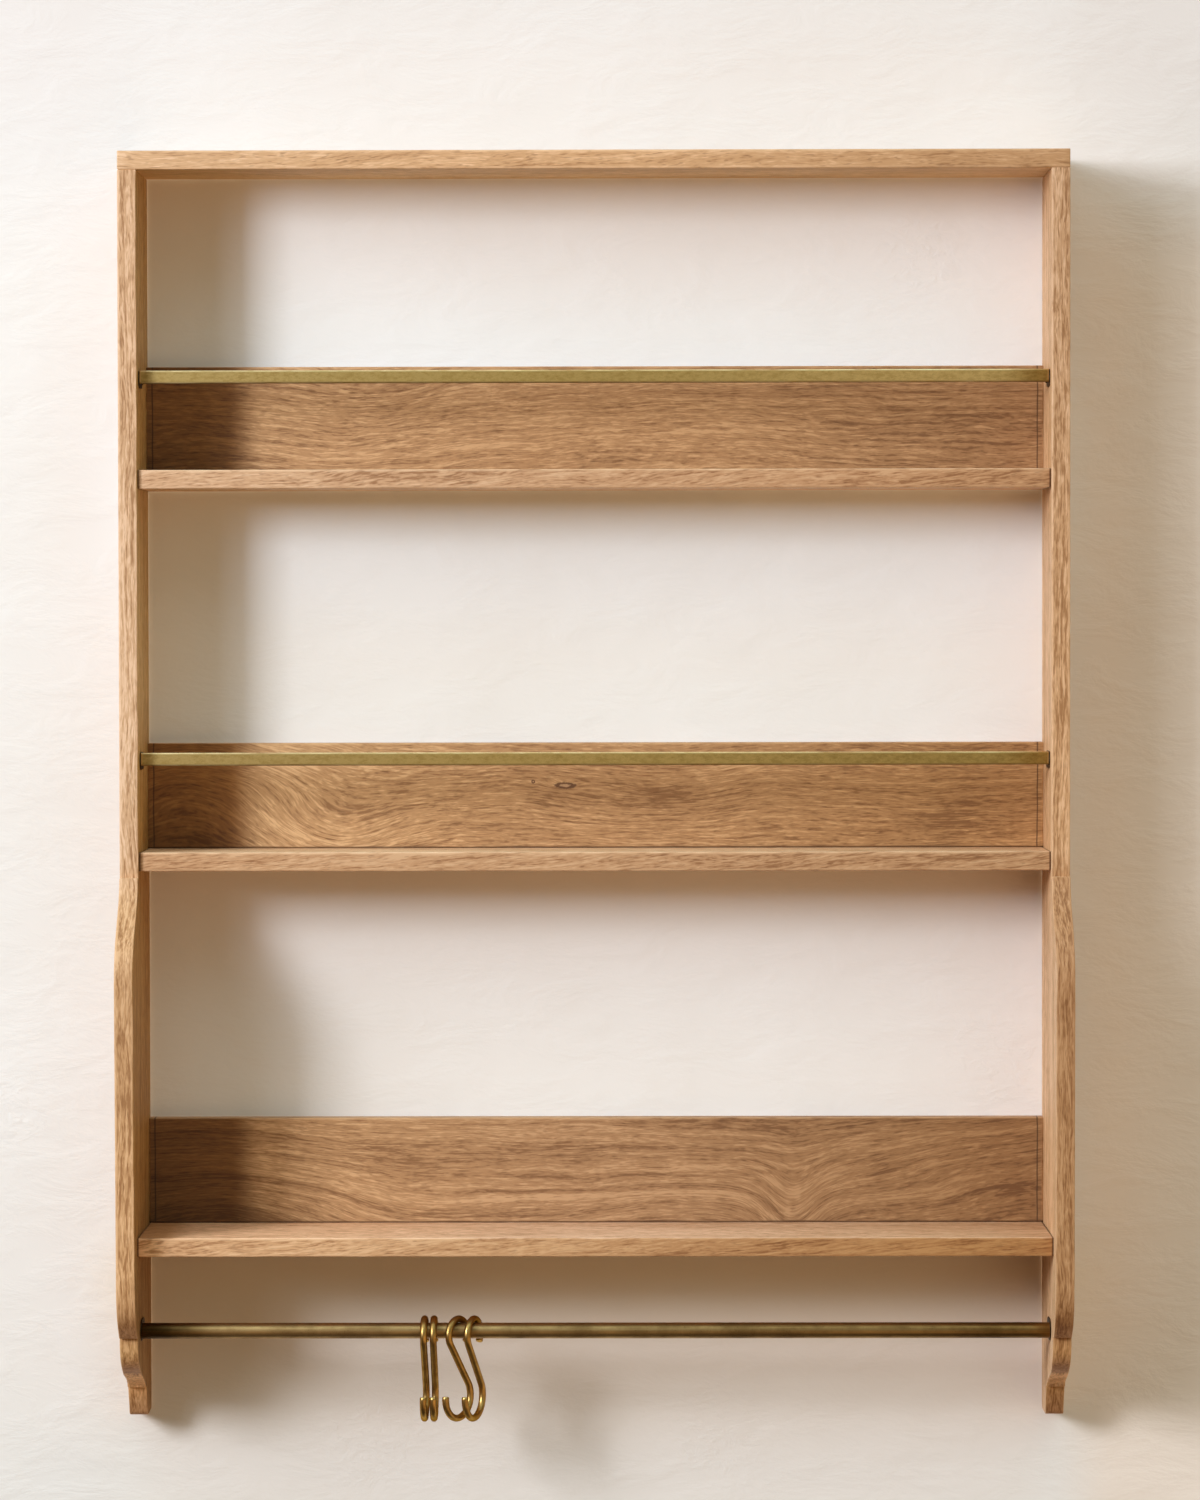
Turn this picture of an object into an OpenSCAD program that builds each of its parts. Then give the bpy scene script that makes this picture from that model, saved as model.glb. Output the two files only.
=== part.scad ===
// Wall display shelf: two shaped side panels carry a top board, three shelves and three back rails.
// Two flat guard bars cross the upper bays, and four S-hooks hang from a round rod at the bottom.
// Millimetres, +Z up, wall plane at y = 0 and the front towards -Y.
// The origin is midway between the entry holes of the two keyhole hangers.

/* [Overall] */
// Width over the two side panels
overall_w = 762; // [700:1:900]
// Thickness of the side panels
side_t = 15; // [14:0.5:20]
// Thickness of the top board
top_t = 15; // [14:0.5:20]
// Thickness of the three shelves
shelf_t = 15; // [14:0.5:20]
// Thickness of the three back rails
rail_t = 15; // [14:0.5:20]

/* [Bays] */
// Height of the open window above the upper back rail
upper_window_h = 154; // [120:1:200]
// Height of the open window above the middle back rail
middle_window_h = 206; // [160:1:260]
// Height of the open window above the lower back rail
lower_window_h = 206; // [160:1:260]
// Height of each back rail above its shelf
rail_h = 86; // [70:1:110]

/* [Depths] */
// Depth of the side panels above the swell
upper_side_depth = 99; // [90:1:120]
// Distance of the upper and middle shelf fronts behind the front edge of the sides
shelf_setback = 4; // [1:0.5:12]
// Depth of the lower shelf
lower_shelf_depth = 123; // [110:1:135]

/* [Side Outline] */
// Depth of the side panels at their widest
widest_side_depth = 151; // [145:1:170]
// Drop from the middle shelf's underside to the first fillet
swell_drop = 5; // [2:1:20]
// Height of the ogee from the first fillet to the widest point
swell_h = 83; // [60:1:110]
// Width of each small fillet of the outline
fillet_step = 4; // [2:0.5:6]
// Depth lost along the nearly straight belly
belly_taper = 7; // [3:1:15]
// Drop from the lower shelf's underside to the end of the belly
belly_drop = 21; // [10:1:40]
// Height of the curve between the belly and the second fillet
shoulder_h = 45; // [35:1:60]
// Depth of the side panels just above the second fillet
shoulder_depth = 120; // [116:1:125]
// Height of the lower ogee between the second and the third fillet
ankle_h = 49; // [40:1:65]
// Depth of the side panels just above the third fillet
ankle_depth = 51; // [45:1:60]
// Height of the foot below the third fillet
foot_h = 25; // [18:1:40]
// Depth lost along the foot
foot_taper = 11; // [4:1:15]
// Radius of the foot's corners
foot_r = 5; // [2:0.5:8]

/* [Guard Bars] */
// Height of the flat guard bars
bar_h = 10.5; // [8:0.5:16]
// Thickness of the flat guard bars
bar_t = 5; // [4.6:0.2:8]
// Distance of the bar's centre behind the front edge of the sides
bar_setback = 16; // [12:1:24]
// Distance of the bar's top below the top of the back rail
bar_drop = 6; // [2:1:20]

/* [Hanging Rod] */
// Diameter of the rod
rod_dia = 12.7; // [10:0.1:14]
// Distance of the rod's axis from the wall
rod_depth = 94; // [85:1:100]
// Drop of the rod's axis below the lower shelf's underside
rod_drop = 63; // [45:1:75]

/* [End Plates] */
// Thickness of the end plates
plate_t = 2; // [1.5:0.1:3]
// Height of the end plates
plate_h = 17; // [15:0.5:22]
// Distance from the bar or rod back to the plate's screw
plate_reach = 18; // [15:0.5:24]
// Radius of the tenon on each guard bar
bar_tenon_r = 2.1; // [1.5:0.1:2.2]
// Radius of the tenon on the rod
rod_tenon_r = 4; // [3:0.1:4.5]
// Depth of each tenon in the side panel
tenon_bite = 6; // [4:0.5:9]

/* [Plate Screws] */
// Radius of the screw's shank
screw_r = 1.75; // [1.2:0.05:2]
// Length of the screw in the side panel
screw_bite = 10; // [6:0.5:11]
// Radius of the round head
screw_head_r = 4; // [3:0.1:5]
// Height of the round head
screw_head_h = 2.8; // [2:0.1:3.5]
// Width of the driving slot
screw_slot_w = 1; // [0.6:0.1:1.2]
// Depth of the driving slot
screw_slot_depth = 1.1; // [0.5:0.1:1.5]

/* [Dowels] */
// Radius of the dowels
dowel_r = 3.95; // [2.5:0.05:4.5]
// Depth of a dowel in a side panel or in the top board
dowel_bite = 9; // [6:0.5:10]
// Depth of a dowel in the end of a shelf, a rail or a side panel
dowel_reach = 18; // [12:1:30]
// Room past the end of each dowel
dowel_end_room = 0.8; // [0.3:0.1:2]
// Distance of the outer dowels from the edge of a board
dowel_margin = 24; // [14:1:30]
// Distance of the rail's dowels from its top and bottom
rail_dowel_margin = 20; // [10:1:30]

/* [Keyhole Hangers] */
// Distance between the two keyholes
hanger_spacing = 406.4; // [300:0.1:600]
// Height of the entry holes above the upper shelf
hanger_rise = 37; // [25:1:45]
// Width of each hanger plate
hanger_w = 16; // [14:0.5:20]
// Length of each hanger plate
hanger_l = 46; // [44:1:60]
// Thickness of each hanger plate
hanger_t = 1.6; // [1:0.1:2.5]
// Radius of the entry hole
entry_r = 5; // [4:0.1:6]
// Radius of the narrow slot
keyslot_r = 2.5; // [2:0.1:3]
// Travel from the entry hole to the end of the slot
keyslot_travel = 12; // [8:0.5:13]
// Depth of the pocket behind the keyhole, from the wall plane
pocket_depth = 8; // [6:0.5:10]
// Width of wood cut free around the wall screw's head on each side
pocket_room = 0.5; // [0.2:0.1:1.5]
// Distance of the hanger's screws from its ends
hanger_screw_margin = 6.5; // [5.5:0.1:7]
// Radius of the hanger screw's shank
hanger_screw_r = 1.5; // [1:0.1:1.8]
// Radius of the hanger screw's flat head
hanger_head_r = 3; // [2.4:0.1:3.6]
// Thickness of the rim of the hanger screw's flat head
hanger_head_rim = 0.25; // [0.1:0.05:0.4]
// Length of the hanger screw below the plate
hanger_screw_bite = 9; // [6:0.5:11]

/* [S Hooks] */
// Radius of the hook wire
wire_r = 2.5; // [2:0.1:3]
// Radius of the upper loop along the wire's middle
upper_loop_r = 12.5; // [12.5:0.1:15]
// Radius of the lower loop along the wire's middle
lower_loop_r = 17; // [15:0.5:20]
// Height of a hook over all
hook_h = 85; // [80:1:110]
// Gap between the loop and the top of the rod
hook_gap = 0.25; // [0.1:0.05:0.6]
// Angle of the upper tip below the loop's middle
upper_tip_angle = 34; // [10:1:50]
// Angle of the lower tip above the loop's middle
lower_tip_angle = 7; // [0:1:30]

/* [Fits] */
// Radial clearance of dowels, tenons and screws in their bores
bore_fit = 0.05; // [0.02:0.01:0.08]
// Clearance of the hanger plates in their recess
recess_fit = 0.1; // [0.05:0.05:0.4]

/* [Hidden] */

// Roundness of true round surfaces, and the number of straight runs in a curve of the side outline
$fn = 64;
curve_runs = 14;
// Length by which a cut runs past the face that it starts from
cut_over = 1;

// Heights of the boards, worked out from the keyholes at z = 0
upper_shelf_top = -hanger_rise;
upper_shelf_under = upper_shelf_top - shelf_t;
top_board_under = upper_shelf_top + rail_h + upper_window_h;
middle_shelf_top = upper_shelf_under - middle_window_h - rail_h;
middle_shelf_under = middle_shelf_top - shelf_t;
lower_shelf_top = middle_shelf_under - lower_window_h - rail_h;
lower_shelf_under = lower_shelf_top - shelf_t;

// Places across the width and in depth
inner_x = overall_w / 2 - side_t;
shelf_depth = upper_side_depth - shelf_setback;
bar_depth = upper_side_depth - bar_setback;
rail_y = -rail_t / 2;
left = -1;
right = 1;

// Heights of the side outline
swell_top = middle_shelf_under - swell_drop;
widest_z = swell_top - swell_h;
belly_end = lower_shelf_under - belly_drop;
shoulder_end = belly_end - shoulder_h;
ankle_end = shoulder_end - ankle_h;
foot_end = ankle_end - foot_h;
belly_end_depth = widest_side_depth - belly_taper;

// Shares of a curve's height and depth at which its two handles lie
swell_handles = [[0.06, 0.36], [1, 0.48]];
shoulder_handles = [[0.08, 0.55], [0.45, 0.76]];
ankle_handles = [[0, 0.68], [0.83, 0.67]];

// Heights of the bars and the rod, and radii of the bores
bar_z_offset = rail_h - bar_drop - bar_h / 2;
upper_bar_z = upper_shelf_top + bar_z_offset;
middle_bar_z = middle_shelf_top + bar_z_offset;
rod_z = lower_shelf_under - rod_drop;
rod_r = rod_dia / 2;
bar_len = 2 * (inner_x - plate_t);

// Places of the dowels in depth
upper_dowel_depths = [dowel_margin, shelf_depth - dowel_margin];
lower_dowel_depths = [dowel_margin, lower_shelf_depth - dowel_margin];
top_dowel_depths = [dowel_margin, upper_side_depth - dowel_margin];
side_mid_x = overall_w / 2 - side_t / 2;

// Places of the hanger plate and its screws above the entry hole
hanger_mid = keyslot_travel / 2;
hanger_screw_offset = hanger_l / 2 - hanger_screw_margin;
hanger_x = hanger_spacing / 2;

// Shape of the hook in its own plane: the shank is the inner tangent of the two loops
hook_drop = upper_loop_r - wire_r - rod_r - hook_gap;
lower_loop_z = upper_loop_r + 2 * wire_r - hook_h + lower_loop_r;
shank_angle = asin((upper_loop_r + lower_loop_r) / -lower_loop_z);
shank_len = -lower_loop_z * cos(shank_angle);

// Place of each hook along the rod, and its turn about the vertical
hook_x = [-137.5, -129.9, -110.7, -98.0];
hook_turn = [2, 1, 34, 22.6];

wood = "burlywood";
wood_dark = "peru";
brass = "darkkhaki";
bronze = "darkgoldenrod";
iron = "dimgray";
zinc = "silver";

// A point on a curve that leaves start and reaches end with the two given handles
function curve_point(start, h1, h2, end, s) =
    pow(1 - s, 3) * start + 3 * s * pow(1 - s, 2) * h1 + 3 * s * s * (1 - s) * h2 + pow(s, 3) * end;

// A run of points between two [depth, height] points, with handles given as shares of the way
function curve(start, end, handles) =
    let (
        way = end - start,
        h1 = start + [handles[0][0] * way[0], handles[0][1] * way[1]],
        h2 = start + [handles[1][0] * way[0], handles[1][1] * way[1]]
    )
    [for (i = [0:curve_runs]) curve_point(start, h1, h2, end, i / curve_runs)];

// A quarter of a circle about a [depth, height] point
function quarter(centre, r, from_angle) =
    [for (i = [0:curve_runs]) let (a = from_angle - 90 * i / curve_runs) centre + r * [cos(a), sin(a)]];

// Outline of a side panel as [depth, height] points, from the top down the front and round the foot
function side_outline() = concat(
    [[0, top_board_under], [upper_side_depth, top_board_under], [upper_side_depth, swell_top]],
    curve([upper_side_depth + fillet_step, swell_top], [widest_side_depth, widest_z], swell_handles),
    curve([belly_end_depth, belly_end], [shoulder_depth, shoulder_end], shoulder_handles),
    curve([shoulder_depth - fillet_step, shoulder_end], [ankle_depth, ankle_end], ankle_handles),
    [[ankle_depth - fillet_step, ankle_end]],
    quarter([ankle_depth - fillet_step - foot_taper - foot_r, foot_end + foot_r], foot_r, 0),
    quarter([foot_r, foot_end + foot_r], foot_r, -90)
);

// A cylinder along X from x0, length len to the right
module rod_x(x0, y, z, r, len) {
    translate([x0, y, z]) rotate([0, 90, 0]) cylinder(r = r, h = len);
}

// A board given by its lowest corner and its size
module board(corner, size) {
    translate(corner) cube(size);
}

// Bores in the inner face of a side panel for one row of dowels at a height
module side_dowel_bores(depths, z) {
    for (depth = depths)
        rod_x(inner_x - cut_over, -depth, z, dowel_r + bore_fit, dowel_bite + dowel_end_room + cut_over);
}

// Bores in the inner face of a side panel for the dowels of a back rail
module side_rail_bores(shelf_top) {
    for (z = [rail_dowel_margin, rail_h - rail_dowel_margin])
        rod_x(inner_x - cut_over, rail_y, shelf_top + z, dowel_r + bore_fit,
            dowel_bite + dowel_end_room + cut_over);
}

// Bores in the inner face of a side panel for one tenon and for the screw of its end plate
module side_plate_bores(depth, z, tenon_r) {
    rod_x(inner_x - cut_over, -depth, z, tenon_r + bore_fit, tenon_bite + dowel_end_room + cut_over);
    rod_x(inner_x - cut_over, plate_reach - depth, z, screw_r + bore_fit,
        screw_bite + dowel_end_room + cut_over);
}

// The right side panel
module side_panel() {
    color(wood) difference() {
        translate([inner_x, 0, 0]) rotate([90, 0, 90]) linear_extrude(side_t)
            polygon([for (p = side_outline()) [-p[0], p[1]]]);
        side_dowel_bores(upper_dowel_depths, upper_shelf_top - shelf_t / 2);
        side_dowel_bores(upper_dowel_depths, middle_shelf_top - shelf_t / 2);
        side_dowel_bores(lower_dowel_depths, lower_shelf_top - shelf_t / 2);
        side_rail_bores(upper_shelf_top);
        side_rail_bores(middle_shelf_top);
        side_rail_bores(lower_shelf_top);
        side_plate_bores(bar_depth, upper_bar_z, bar_tenon_r);
        side_plate_bores(bar_depth, middle_bar_z, bar_tenon_r);
        side_plate_bores(rod_depth, rod_z, rod_tenon_r);
        for (depth = top_dowel_depths)
            translate([side_mid_x, -depth, top_board_under - dowel_reach - dowel_end_room])
                cylinder(r = dowel_r + bore_fit, h = dowel_reach + dowel_end_room + cut_over);
    }
}

// The top board lies on the ends of both side panels
module top_board() {
    color(wood) difference() {
        board([-overall_w / 2, -upper_side_depth, top_board_under], [overall_w, upper_side_depth, top_t]);
        for (side = [left, right], depth = top_dowel_depths)
            translate([side * side_mid_x, -depth, top_board_under - cut_over])
                cylinder(r = dowel_r + bore_fit, h = dowel_bite + dowel_end_room + cut_over);
    }
}

// A shelf between the side panels, bored at both ends
module shelf(depth, top, dowel_depths) {
    bore_len = dowel_reach + dowel_end_room + cut_over;
    color(wood) difference() {
        board([-inner_x, -depth, top - shelf_t], [2 * inner_x, depth, shelf_t]);
        for (place = dowel_depths) {
            rod_x(-inner_x - cut_over, -place, top - shelf_t / 2, dowel_r + bore_fit, bore_len);
            rod_x(inner_x + cut_over - bore_len, -place, top - shelf_t / 2, dowel_r + bore_fit, bore_len);
        }
    }
}

// A back rail standing on its shelf against the wall, bored at both ends
module back_rail(shelf_top) {
    bore_len = dowel_reach + dowel_end_room + cut_over;
    color(wood_dark) difference() {
        board([-inner_x, -rail_t, shelf_top], [2 * inner_x, rail_t, rail_h]);
        for (z = [rail_dowel_margin, rail_h - rail_dowel_margin]) {
            rod_x(-inner_x - cut_over, rail_y, shelf_top + z, dowel_r + bore_fit, bore_len);
            rod_x(inner_x + cut_over - bore_len, rail_y, shelf_top + z, dowel_r + bore_fit, bore_len);
        }
    }
}

// A bar with rounded ends, standing on z = 0, r its radius and len its length between the two centres
module long_round(r, len, h) {
    cylinder(r = r, h = h);
    translate([0, len, 0]) cylinder(r = r, h = h);
    translate([-r, 0, 0]) cube([2 * r, len, h]);
}

// Everything cut from the back of the upper rail for one keyhole hanger, about its entry hole
module hanger_cuts() {
    rotate([90, 0, 0]) {
        translate([0, hanger_mid - hanger_l / 2 + hanger_w / 2, -cut_over])
            long_round(hanger_w / 2 + recess_fit, hanger_l - hanger_w, hanger_t + cut_over);
        translate([0, 0, -cut_over])
            long_round(entry_r + pocket_room, keyslot_travel, pocket_depth + cut_over);
        for (end = [-1, 1])
            translate([0, hanger_mid + end * hanger_screw_offset, 0])
                cylinder(r = hanger_screw_r + bore_fit, h = hanger_t + hanger_screw_bite + dowel_end_room);
    }
}

// The upper back rail carries the two hangers in its back face
module upper_back_rail() {
    color(wood_dark) difference() {
        back_rail(upper_shelf_top);
        for (side = [left, right])
            translate([side * hanger_x, 0, 0]) hanger_cuts();
    }
}

// Depth of the flat head's cone in the hanger plate
function hanger_head_h() = hanger_t - hanger_head_rim;

// Keyhole hanger plate, flush with the wall plane
module keyhole_hanger(side) {
    color(zinc) translate([side * hanger_x, 0, 0]) rotate([90, 0, 0]) difference() {
        translate([0, hanger_mid - hanger_l / 2 + hanger_w / 2, 0])
            long_round(hanger_w / 2, hanger_l - hanger_w, hanger_t);
        translate([0, 0, -cut_over]) cylinder(r = entry_r, h = hanger_t + 2 * cut_over);
        translate([0, 0, -cut_over]) long_round(keyslot_r, keyslot_travel, hanger_t + 2 * cut_over);
        for (end = [-1, 1])
            translate([0, hanger_mid + end * hanger_screw_offset, 0]) rotate_extrude()
                polygon([
                    [0, -cut_over], [hanger_head_r + bore_fit, -cut_over], [hanger_head_r + bore_fit, 0],
                    [hanger_screw_r + bore_fit, hanger_head_h()], [hanger_screw_r + bore_fit, hanger_t + cut_over],
                    [0, hanger_t + cut_over]
                ]);
    }
}

// The four flat-headed screws of the hangers
module keyhole_hanger_screws() {
    color(zinc) for (side = [left, right], end = [-1, 1])
        translate([side * hanger_x, 0, hanger_mid + end * hanger_screw_offset]) rotate([90, 0, 0])
            rotate_extrude() polygon([
                [0, 0], [hanger_head_r, 0], [hanger_screw_r, hanger_head_h()],
                [hanger_screw_r, hanger_t + hanger_screw_bite - hanger_screw_r],
                [0, hanger_t + hanger_screw_bite]
            ]);
}

// One row of dowels for a shelf, at both ends
module shelf_dowels(depths, z) {
    color(wood_dark) for (depth = depths) {
        rod_x(inner_x - dowel_reach, -depth, z, dowel_r, dowel_reach + dowel_bite);
        rod_x(-inner_x - dowel_bite, -depth, z, dowel_r, dowel_reach + dowel_bite);
    }
}

// The four dowels of a back rail
module rail_dowels(shelf_top) {
    color(wood_dark) for (z = [rail_dowel_margin, rail_h - rail_dowel_margin]) {
        rod_x(inner_x - dowel_reach, rail_y, shelf_top + z, dowel_r, dowel_reach + dowel_bite);
        rod_x(-inner_x - dowel_bite, rail_y, shelf_top + z, dowel_r, dowel_reach + dowel_bite);
    }
}

// The four upright dowels under the top board
module top_board_dowels() {
    color(wood_dark) for (side = [left, right], depth = top_dowel_depths)
        translate([side * side_mid_x, -depth, top_board_under - dowel_reach])
            cylinder(r = dowel_r, h = dowel_reach + dowel_bite);
}

// Flat guard bar with a round tenon at each end that passes through the end plate into the side
module guard_bar(z) {
    color(brass) {
        board([-bar_len / 2, -bar_depth - bar_t / 2, z - bar_h / 2], [bar_len, bar_t, bar_h]);
        rod_x(-inner_x - tenon_bite, -bar_depth, z, bar_tenon_r, 2 * (inner_x + tenon_bite));
    }
}

// Round rod with a tenon at each end
module hanging_rod() {
    color(bronze) {
        rod_x(-bar_len / 2, -rod_depth, rod_z, rod_r, bar_len);
        rod_x(-inner_x - tenon_bite, -rod_depth, rod_z, rod_tenon_r, 2 * (inner_x + tenon_bite));
    }
}

// Right-hand end plate about its tenon: a strip with round ends that reaches back to its screw
module end_plate(depth, z, tenon_r) {
    color(iron) translate([inner_x - plate_t, -depth, z]) rotate([90, 0, 90]) difference() {
        rotate([0, 0, -90]) long_round(plate_h / 2, plate_reach, plate_t);
        translate([0, 0, -cut_over]) cylinder(r = tenon_r + bore_fit, h = plate_t + 2 * cut_over);
        translate([plate_reach, 0, -cut_over]) cylinder(r = screw_r + bore_fit, h = plate_t + 2 * cut_over);
    }
}

// Round-headed screw on the right-hand plate, its head towards the middle of the shelf
module plate_screw(depth, z) {
    head_arc_r = (screw_head_r * screw_head_r + screw_head_h * screw_head_h) / (2 * screw_head_h);
    translate([inner_x - plate_t, plate_reach - depth, z]) rotate([0, 90, 0]) {
        difference() {
            rotate_extrude() intersection() {
                translate([0, head_arc_r - screw_head_h]) circle(r = head_arc_r);
                translate([0, -screw_head_h]) square([screw_head_r, screw_head_h]);
            }
            translate([-screw_head_r, -screw_slot_w / 2, -screw_head_h - cut_over])
                cube([2 * screw_head_r, screw_slot_w, screw_slot_depth + cut_over]);
        }
        cylinder(r = screw_r, h = plate_t + screw_bite);
    }
}

// The six screws of the end plates
module end_plate_screws() {
    color(iron) for (side = [0, 1]) mirror([side, 0, 0]) {
        plate_screw(bar_depth, upper_bar_z);
        plate_screw(bar_depth, middle_bar_z);
        plate_screw(rod_depth, rod_z);
    }
}

// Part of a loop of wire, from angle zero through the given sweep
module wire_arc(r, sweep) {
    rotate_extrude(angle = sweep) translate([r, 0]) circle(r = wire_r);
}

// An S-hook hung on the rod: the upper loop opens to the wall and the lower loop to the front
module s_hook(index) {
    color(bronze) translate([hook_x[index], -rod_depth, rod_z - hook_drop])
        rotate([0, 0, 90 - hook_turn[index]]) rotate([90, 0, 0]) mirror([1, 0, 0])
            rotate([0, 0, -shank_angle]) {
                wire_arc(upper_loop_r, 180 + shank_angle + upper_tip_angle);
                translate([upper_loop_r, 0, 0]) rotate([90, 0, 0]) cylinder(r = wire_r, h = shank_len);
                translate([upper_loop_r + lower_loop_r, -shank_len, 0]) rotate([0, 0, 180])
                    wire_arc(lower_loop_r, 180 + shank_angle + lower_tip_angle);
            }
}

module left_copy() {
    mirror([1, 0, 0]) children();
}

left_copy() side_panel();  // side_panel_left
side_panel();  // side_panel_right
top_board();
shelf(shelf_depth, upper_shelf_top, upper_dowel_depths);  // upper_shelf
shelf(shelf_depth, middle_shelf_top, upper_dowel_depths);  // middle_shelf
shelf(lower_shelf_depth, lower_shelf_top, lower_dowel_depths);  // lower_shelf
upper_back_rail();
back_rail(middle_shelf_top);  // middle_back_rail
back_rail(lower_shelf_top);  // lower_back_rail
guard_bar(upper_bar_z);  // upper_guard_bar
guard_bar(middle_bar_z);  // middle_guard_bar
hanging_rod();
left_copy() end_plate(bar_depth, upper_bar_z, bar_tenon_r);  // upper_bar_plate_left
end_plate(bar_depth, upper_bar_z, bar_tenon_r);  // upper_bar_plate_right
left_copy() end_plate(bar_depth, middle_bar_z, bar_tenon_r);  // middle_bar_plate_left
end_plate(bar_depth, middle_bar_z, bar_tenon_r);  // middle_bar_plate_right
left_copy() end_plate(rod_depth, rod_z, rod_tenon_r);  // rod_plate_left
end_plate(rod_depth, rod_z, rod_tenon_r);  // rod_plate_right
end_plate_screws();
top_board_dowels();
shelf_dowels(upper_dowel_depths, upper_shelf_top - shelf_t / 2);  // upper_shelf_dowels
shelf_dowels(upper_dowel_depths, middle_shelf_top - shelf_t / 2);  // middle_shelf_dowels
shelf_dowels(lower_dowel_depths, lower_shelf_top - shelf_t / 2);  // lower_shelf_dowels
rail_dowels(upper_shelf_top);  // upper_rail_dowels
rail_dowels(middle_shelf_top);  // middle_rail_dowels
rail_dowels(lower_shelf_top);  // lower_rail_dowels
keyhole_hanger(left);  // keyhole_hanger_left
keyhole_hanger(right);  // keyhole_hanger_right
keyhole_hanger_screws();
s_hook(0);  // s_hook_1
s_hook(1);  // s_hook_2
s_hook(2);  // s_hook_3
s_hook(3);  // s_hook_4
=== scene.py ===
"""Looks of a wall display shelf in honey-coloured mango wood, with aged brass bars, rod and S-hooks.

Metres, in the frame of the CAD model: the wall is the plane y = 0, the front faces -Y and +Z is up.
Sections follow the shelf as it is put together: first the room, then the boards, then the metal fittings.
"""

import math

import bmesh
import bpy
from mathutils import Matrix, Quaternion, Vector, noise


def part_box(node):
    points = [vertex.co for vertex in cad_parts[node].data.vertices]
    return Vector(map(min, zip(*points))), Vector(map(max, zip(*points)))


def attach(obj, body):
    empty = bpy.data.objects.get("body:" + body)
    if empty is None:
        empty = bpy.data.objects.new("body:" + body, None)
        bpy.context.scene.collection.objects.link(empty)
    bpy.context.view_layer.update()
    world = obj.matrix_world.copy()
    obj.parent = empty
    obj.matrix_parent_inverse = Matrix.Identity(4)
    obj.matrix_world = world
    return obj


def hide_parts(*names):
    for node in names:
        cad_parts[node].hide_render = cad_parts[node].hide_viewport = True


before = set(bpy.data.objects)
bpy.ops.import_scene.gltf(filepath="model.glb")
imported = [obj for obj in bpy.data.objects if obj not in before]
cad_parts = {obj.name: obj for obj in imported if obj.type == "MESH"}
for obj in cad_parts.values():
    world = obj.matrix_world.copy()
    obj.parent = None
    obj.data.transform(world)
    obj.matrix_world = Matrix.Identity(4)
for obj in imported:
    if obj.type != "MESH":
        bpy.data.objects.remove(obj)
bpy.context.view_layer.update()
scene = bpy.context.scene
scene.view_settings.view_transform = "Standard"
MM = 0.001


# The room: a long camera standing almost square to the wall, a little right of the shelf's middle and a
# little above it, and a limewashed plaster wall and a pale floor that only carry shadows. The wall also
# carries painted shade and painted light about the shelf.

def painted(red, green, blue):
    """A colour read off a screen, 0 to 255, as linear light."""
    return tuple(
        c / 12.92 if c <= 0.04045 else ((c + 0.055) / 1.055) ** 2.4
        for c in (red / 255, green / 255, blue / 255)
    ) + (1,)


def placed(name, data):
    """A new object in the scene for a camera, lamp, curve or mesh."""
    item = bpy.data.objects.new(name, data)
    scene.collection.objects.link(item)
    return item


CAMERA_SPOT = Vector((33.7, -4323.5, -156.7)) * MM
CAMERA_AIM = Vector((3.8, 0, -264.4)) * MM
CAMERA_ROLL = -0.0018
camera = placed("camera", bpy.data.cameras.new("camera"))
scene.camera = camera
camera.data.sensor_width = 36
camera.data.lens = 126.6
camera.data.clip_end = 60
camera.location = CAMERA_SPOT
camera.rotation_mode = "QUATERNION"
square_on = (CAMERA_AIM - CAMERA_SPOT).to_track_quat("-Z", "Y")
camera.rotation_quaternion = square_on @ Quaternion((0, 0, 1), CAMERA_ROLL)


def feed(tree, socket, value):
    """Gives an input a link or a plain value."""
    if isinstance(value, bpy.types.NodeSocket):
        tree.links.new(value, socket)
    else:
        socket.default_value = value


def fed(tree, kind, values, **settings):
    """A new node with its settings made and its inputs fed, by name or by number."""
    node = tree.nodes.new(kind)
    for setting, value in settings.items():
        setattr(node, setting, value)
    for key, value in dict(values).items():
        feed(tree, node.inputs[key], value)
    return node


def calc(tree, operation, *values):
    """One Math node on sockets or plain numbers; gives its result."""
    return fed(tree, "ShaderNodeMath", enumerate(values), operation=operation).outputs[0]


def vectors(tree, operation, *values):
    """One Vector Math node; gives its outputs, "Vector" and "Value"."""
    return fed(tree, "ShaderNodeVectorMath", enumerate(values), operation=operation).outputs


def axis_of(tree, place, axis):
    """One of the three parts of a place."""
    return fed(tree, "ShaderNodeSeparateXYZ", {0: place}).outputs[axis]


def grainy(tree, place, scale, detail=2.0, roughness=0.5, distortion=0.0, give="Fac"):
    """A noise texture at a place stretched along each axis, to run with the grain or the stroke."""
    stretched = vectors(tree, "MULTIPLY", place, scale)["Vector"]
    values = {"Vector": stretched, "Scale": 1.0, "Detail": detail, "Roughness": roughness,
              "Distortion": distortion}
    return fed(tree, "ShaderNodeTexNoise", values).outputs[give]


def between(tree, value, low, high, to_low=0.0, to_high=1.0):
    """A value taken from one range to another with a soft start and end."""
    values = enumerate((value, low, high, to_low, to_high))
    return fed(tree, "ShaderNodeMapRange", values, interpolation_type="SMOOTHSTEP").outputs[0]


def blended(tree, share, one, other, how="MIX"):
    """Two colours mixed by a share; each is a socket or a plain colour."""
    values = {0: share, 6: one, 7: other}
    return fed(tree, "ShaderNodeMix", values, data_type="RGBA", blend_type=how).outputs[2]


def multiplied(tree, colour, shares):
    """A colour times shares of red, green and blue."""
    return blended(tree, 1.0, colour, (*shares, 1), "MULTIPLY")


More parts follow.
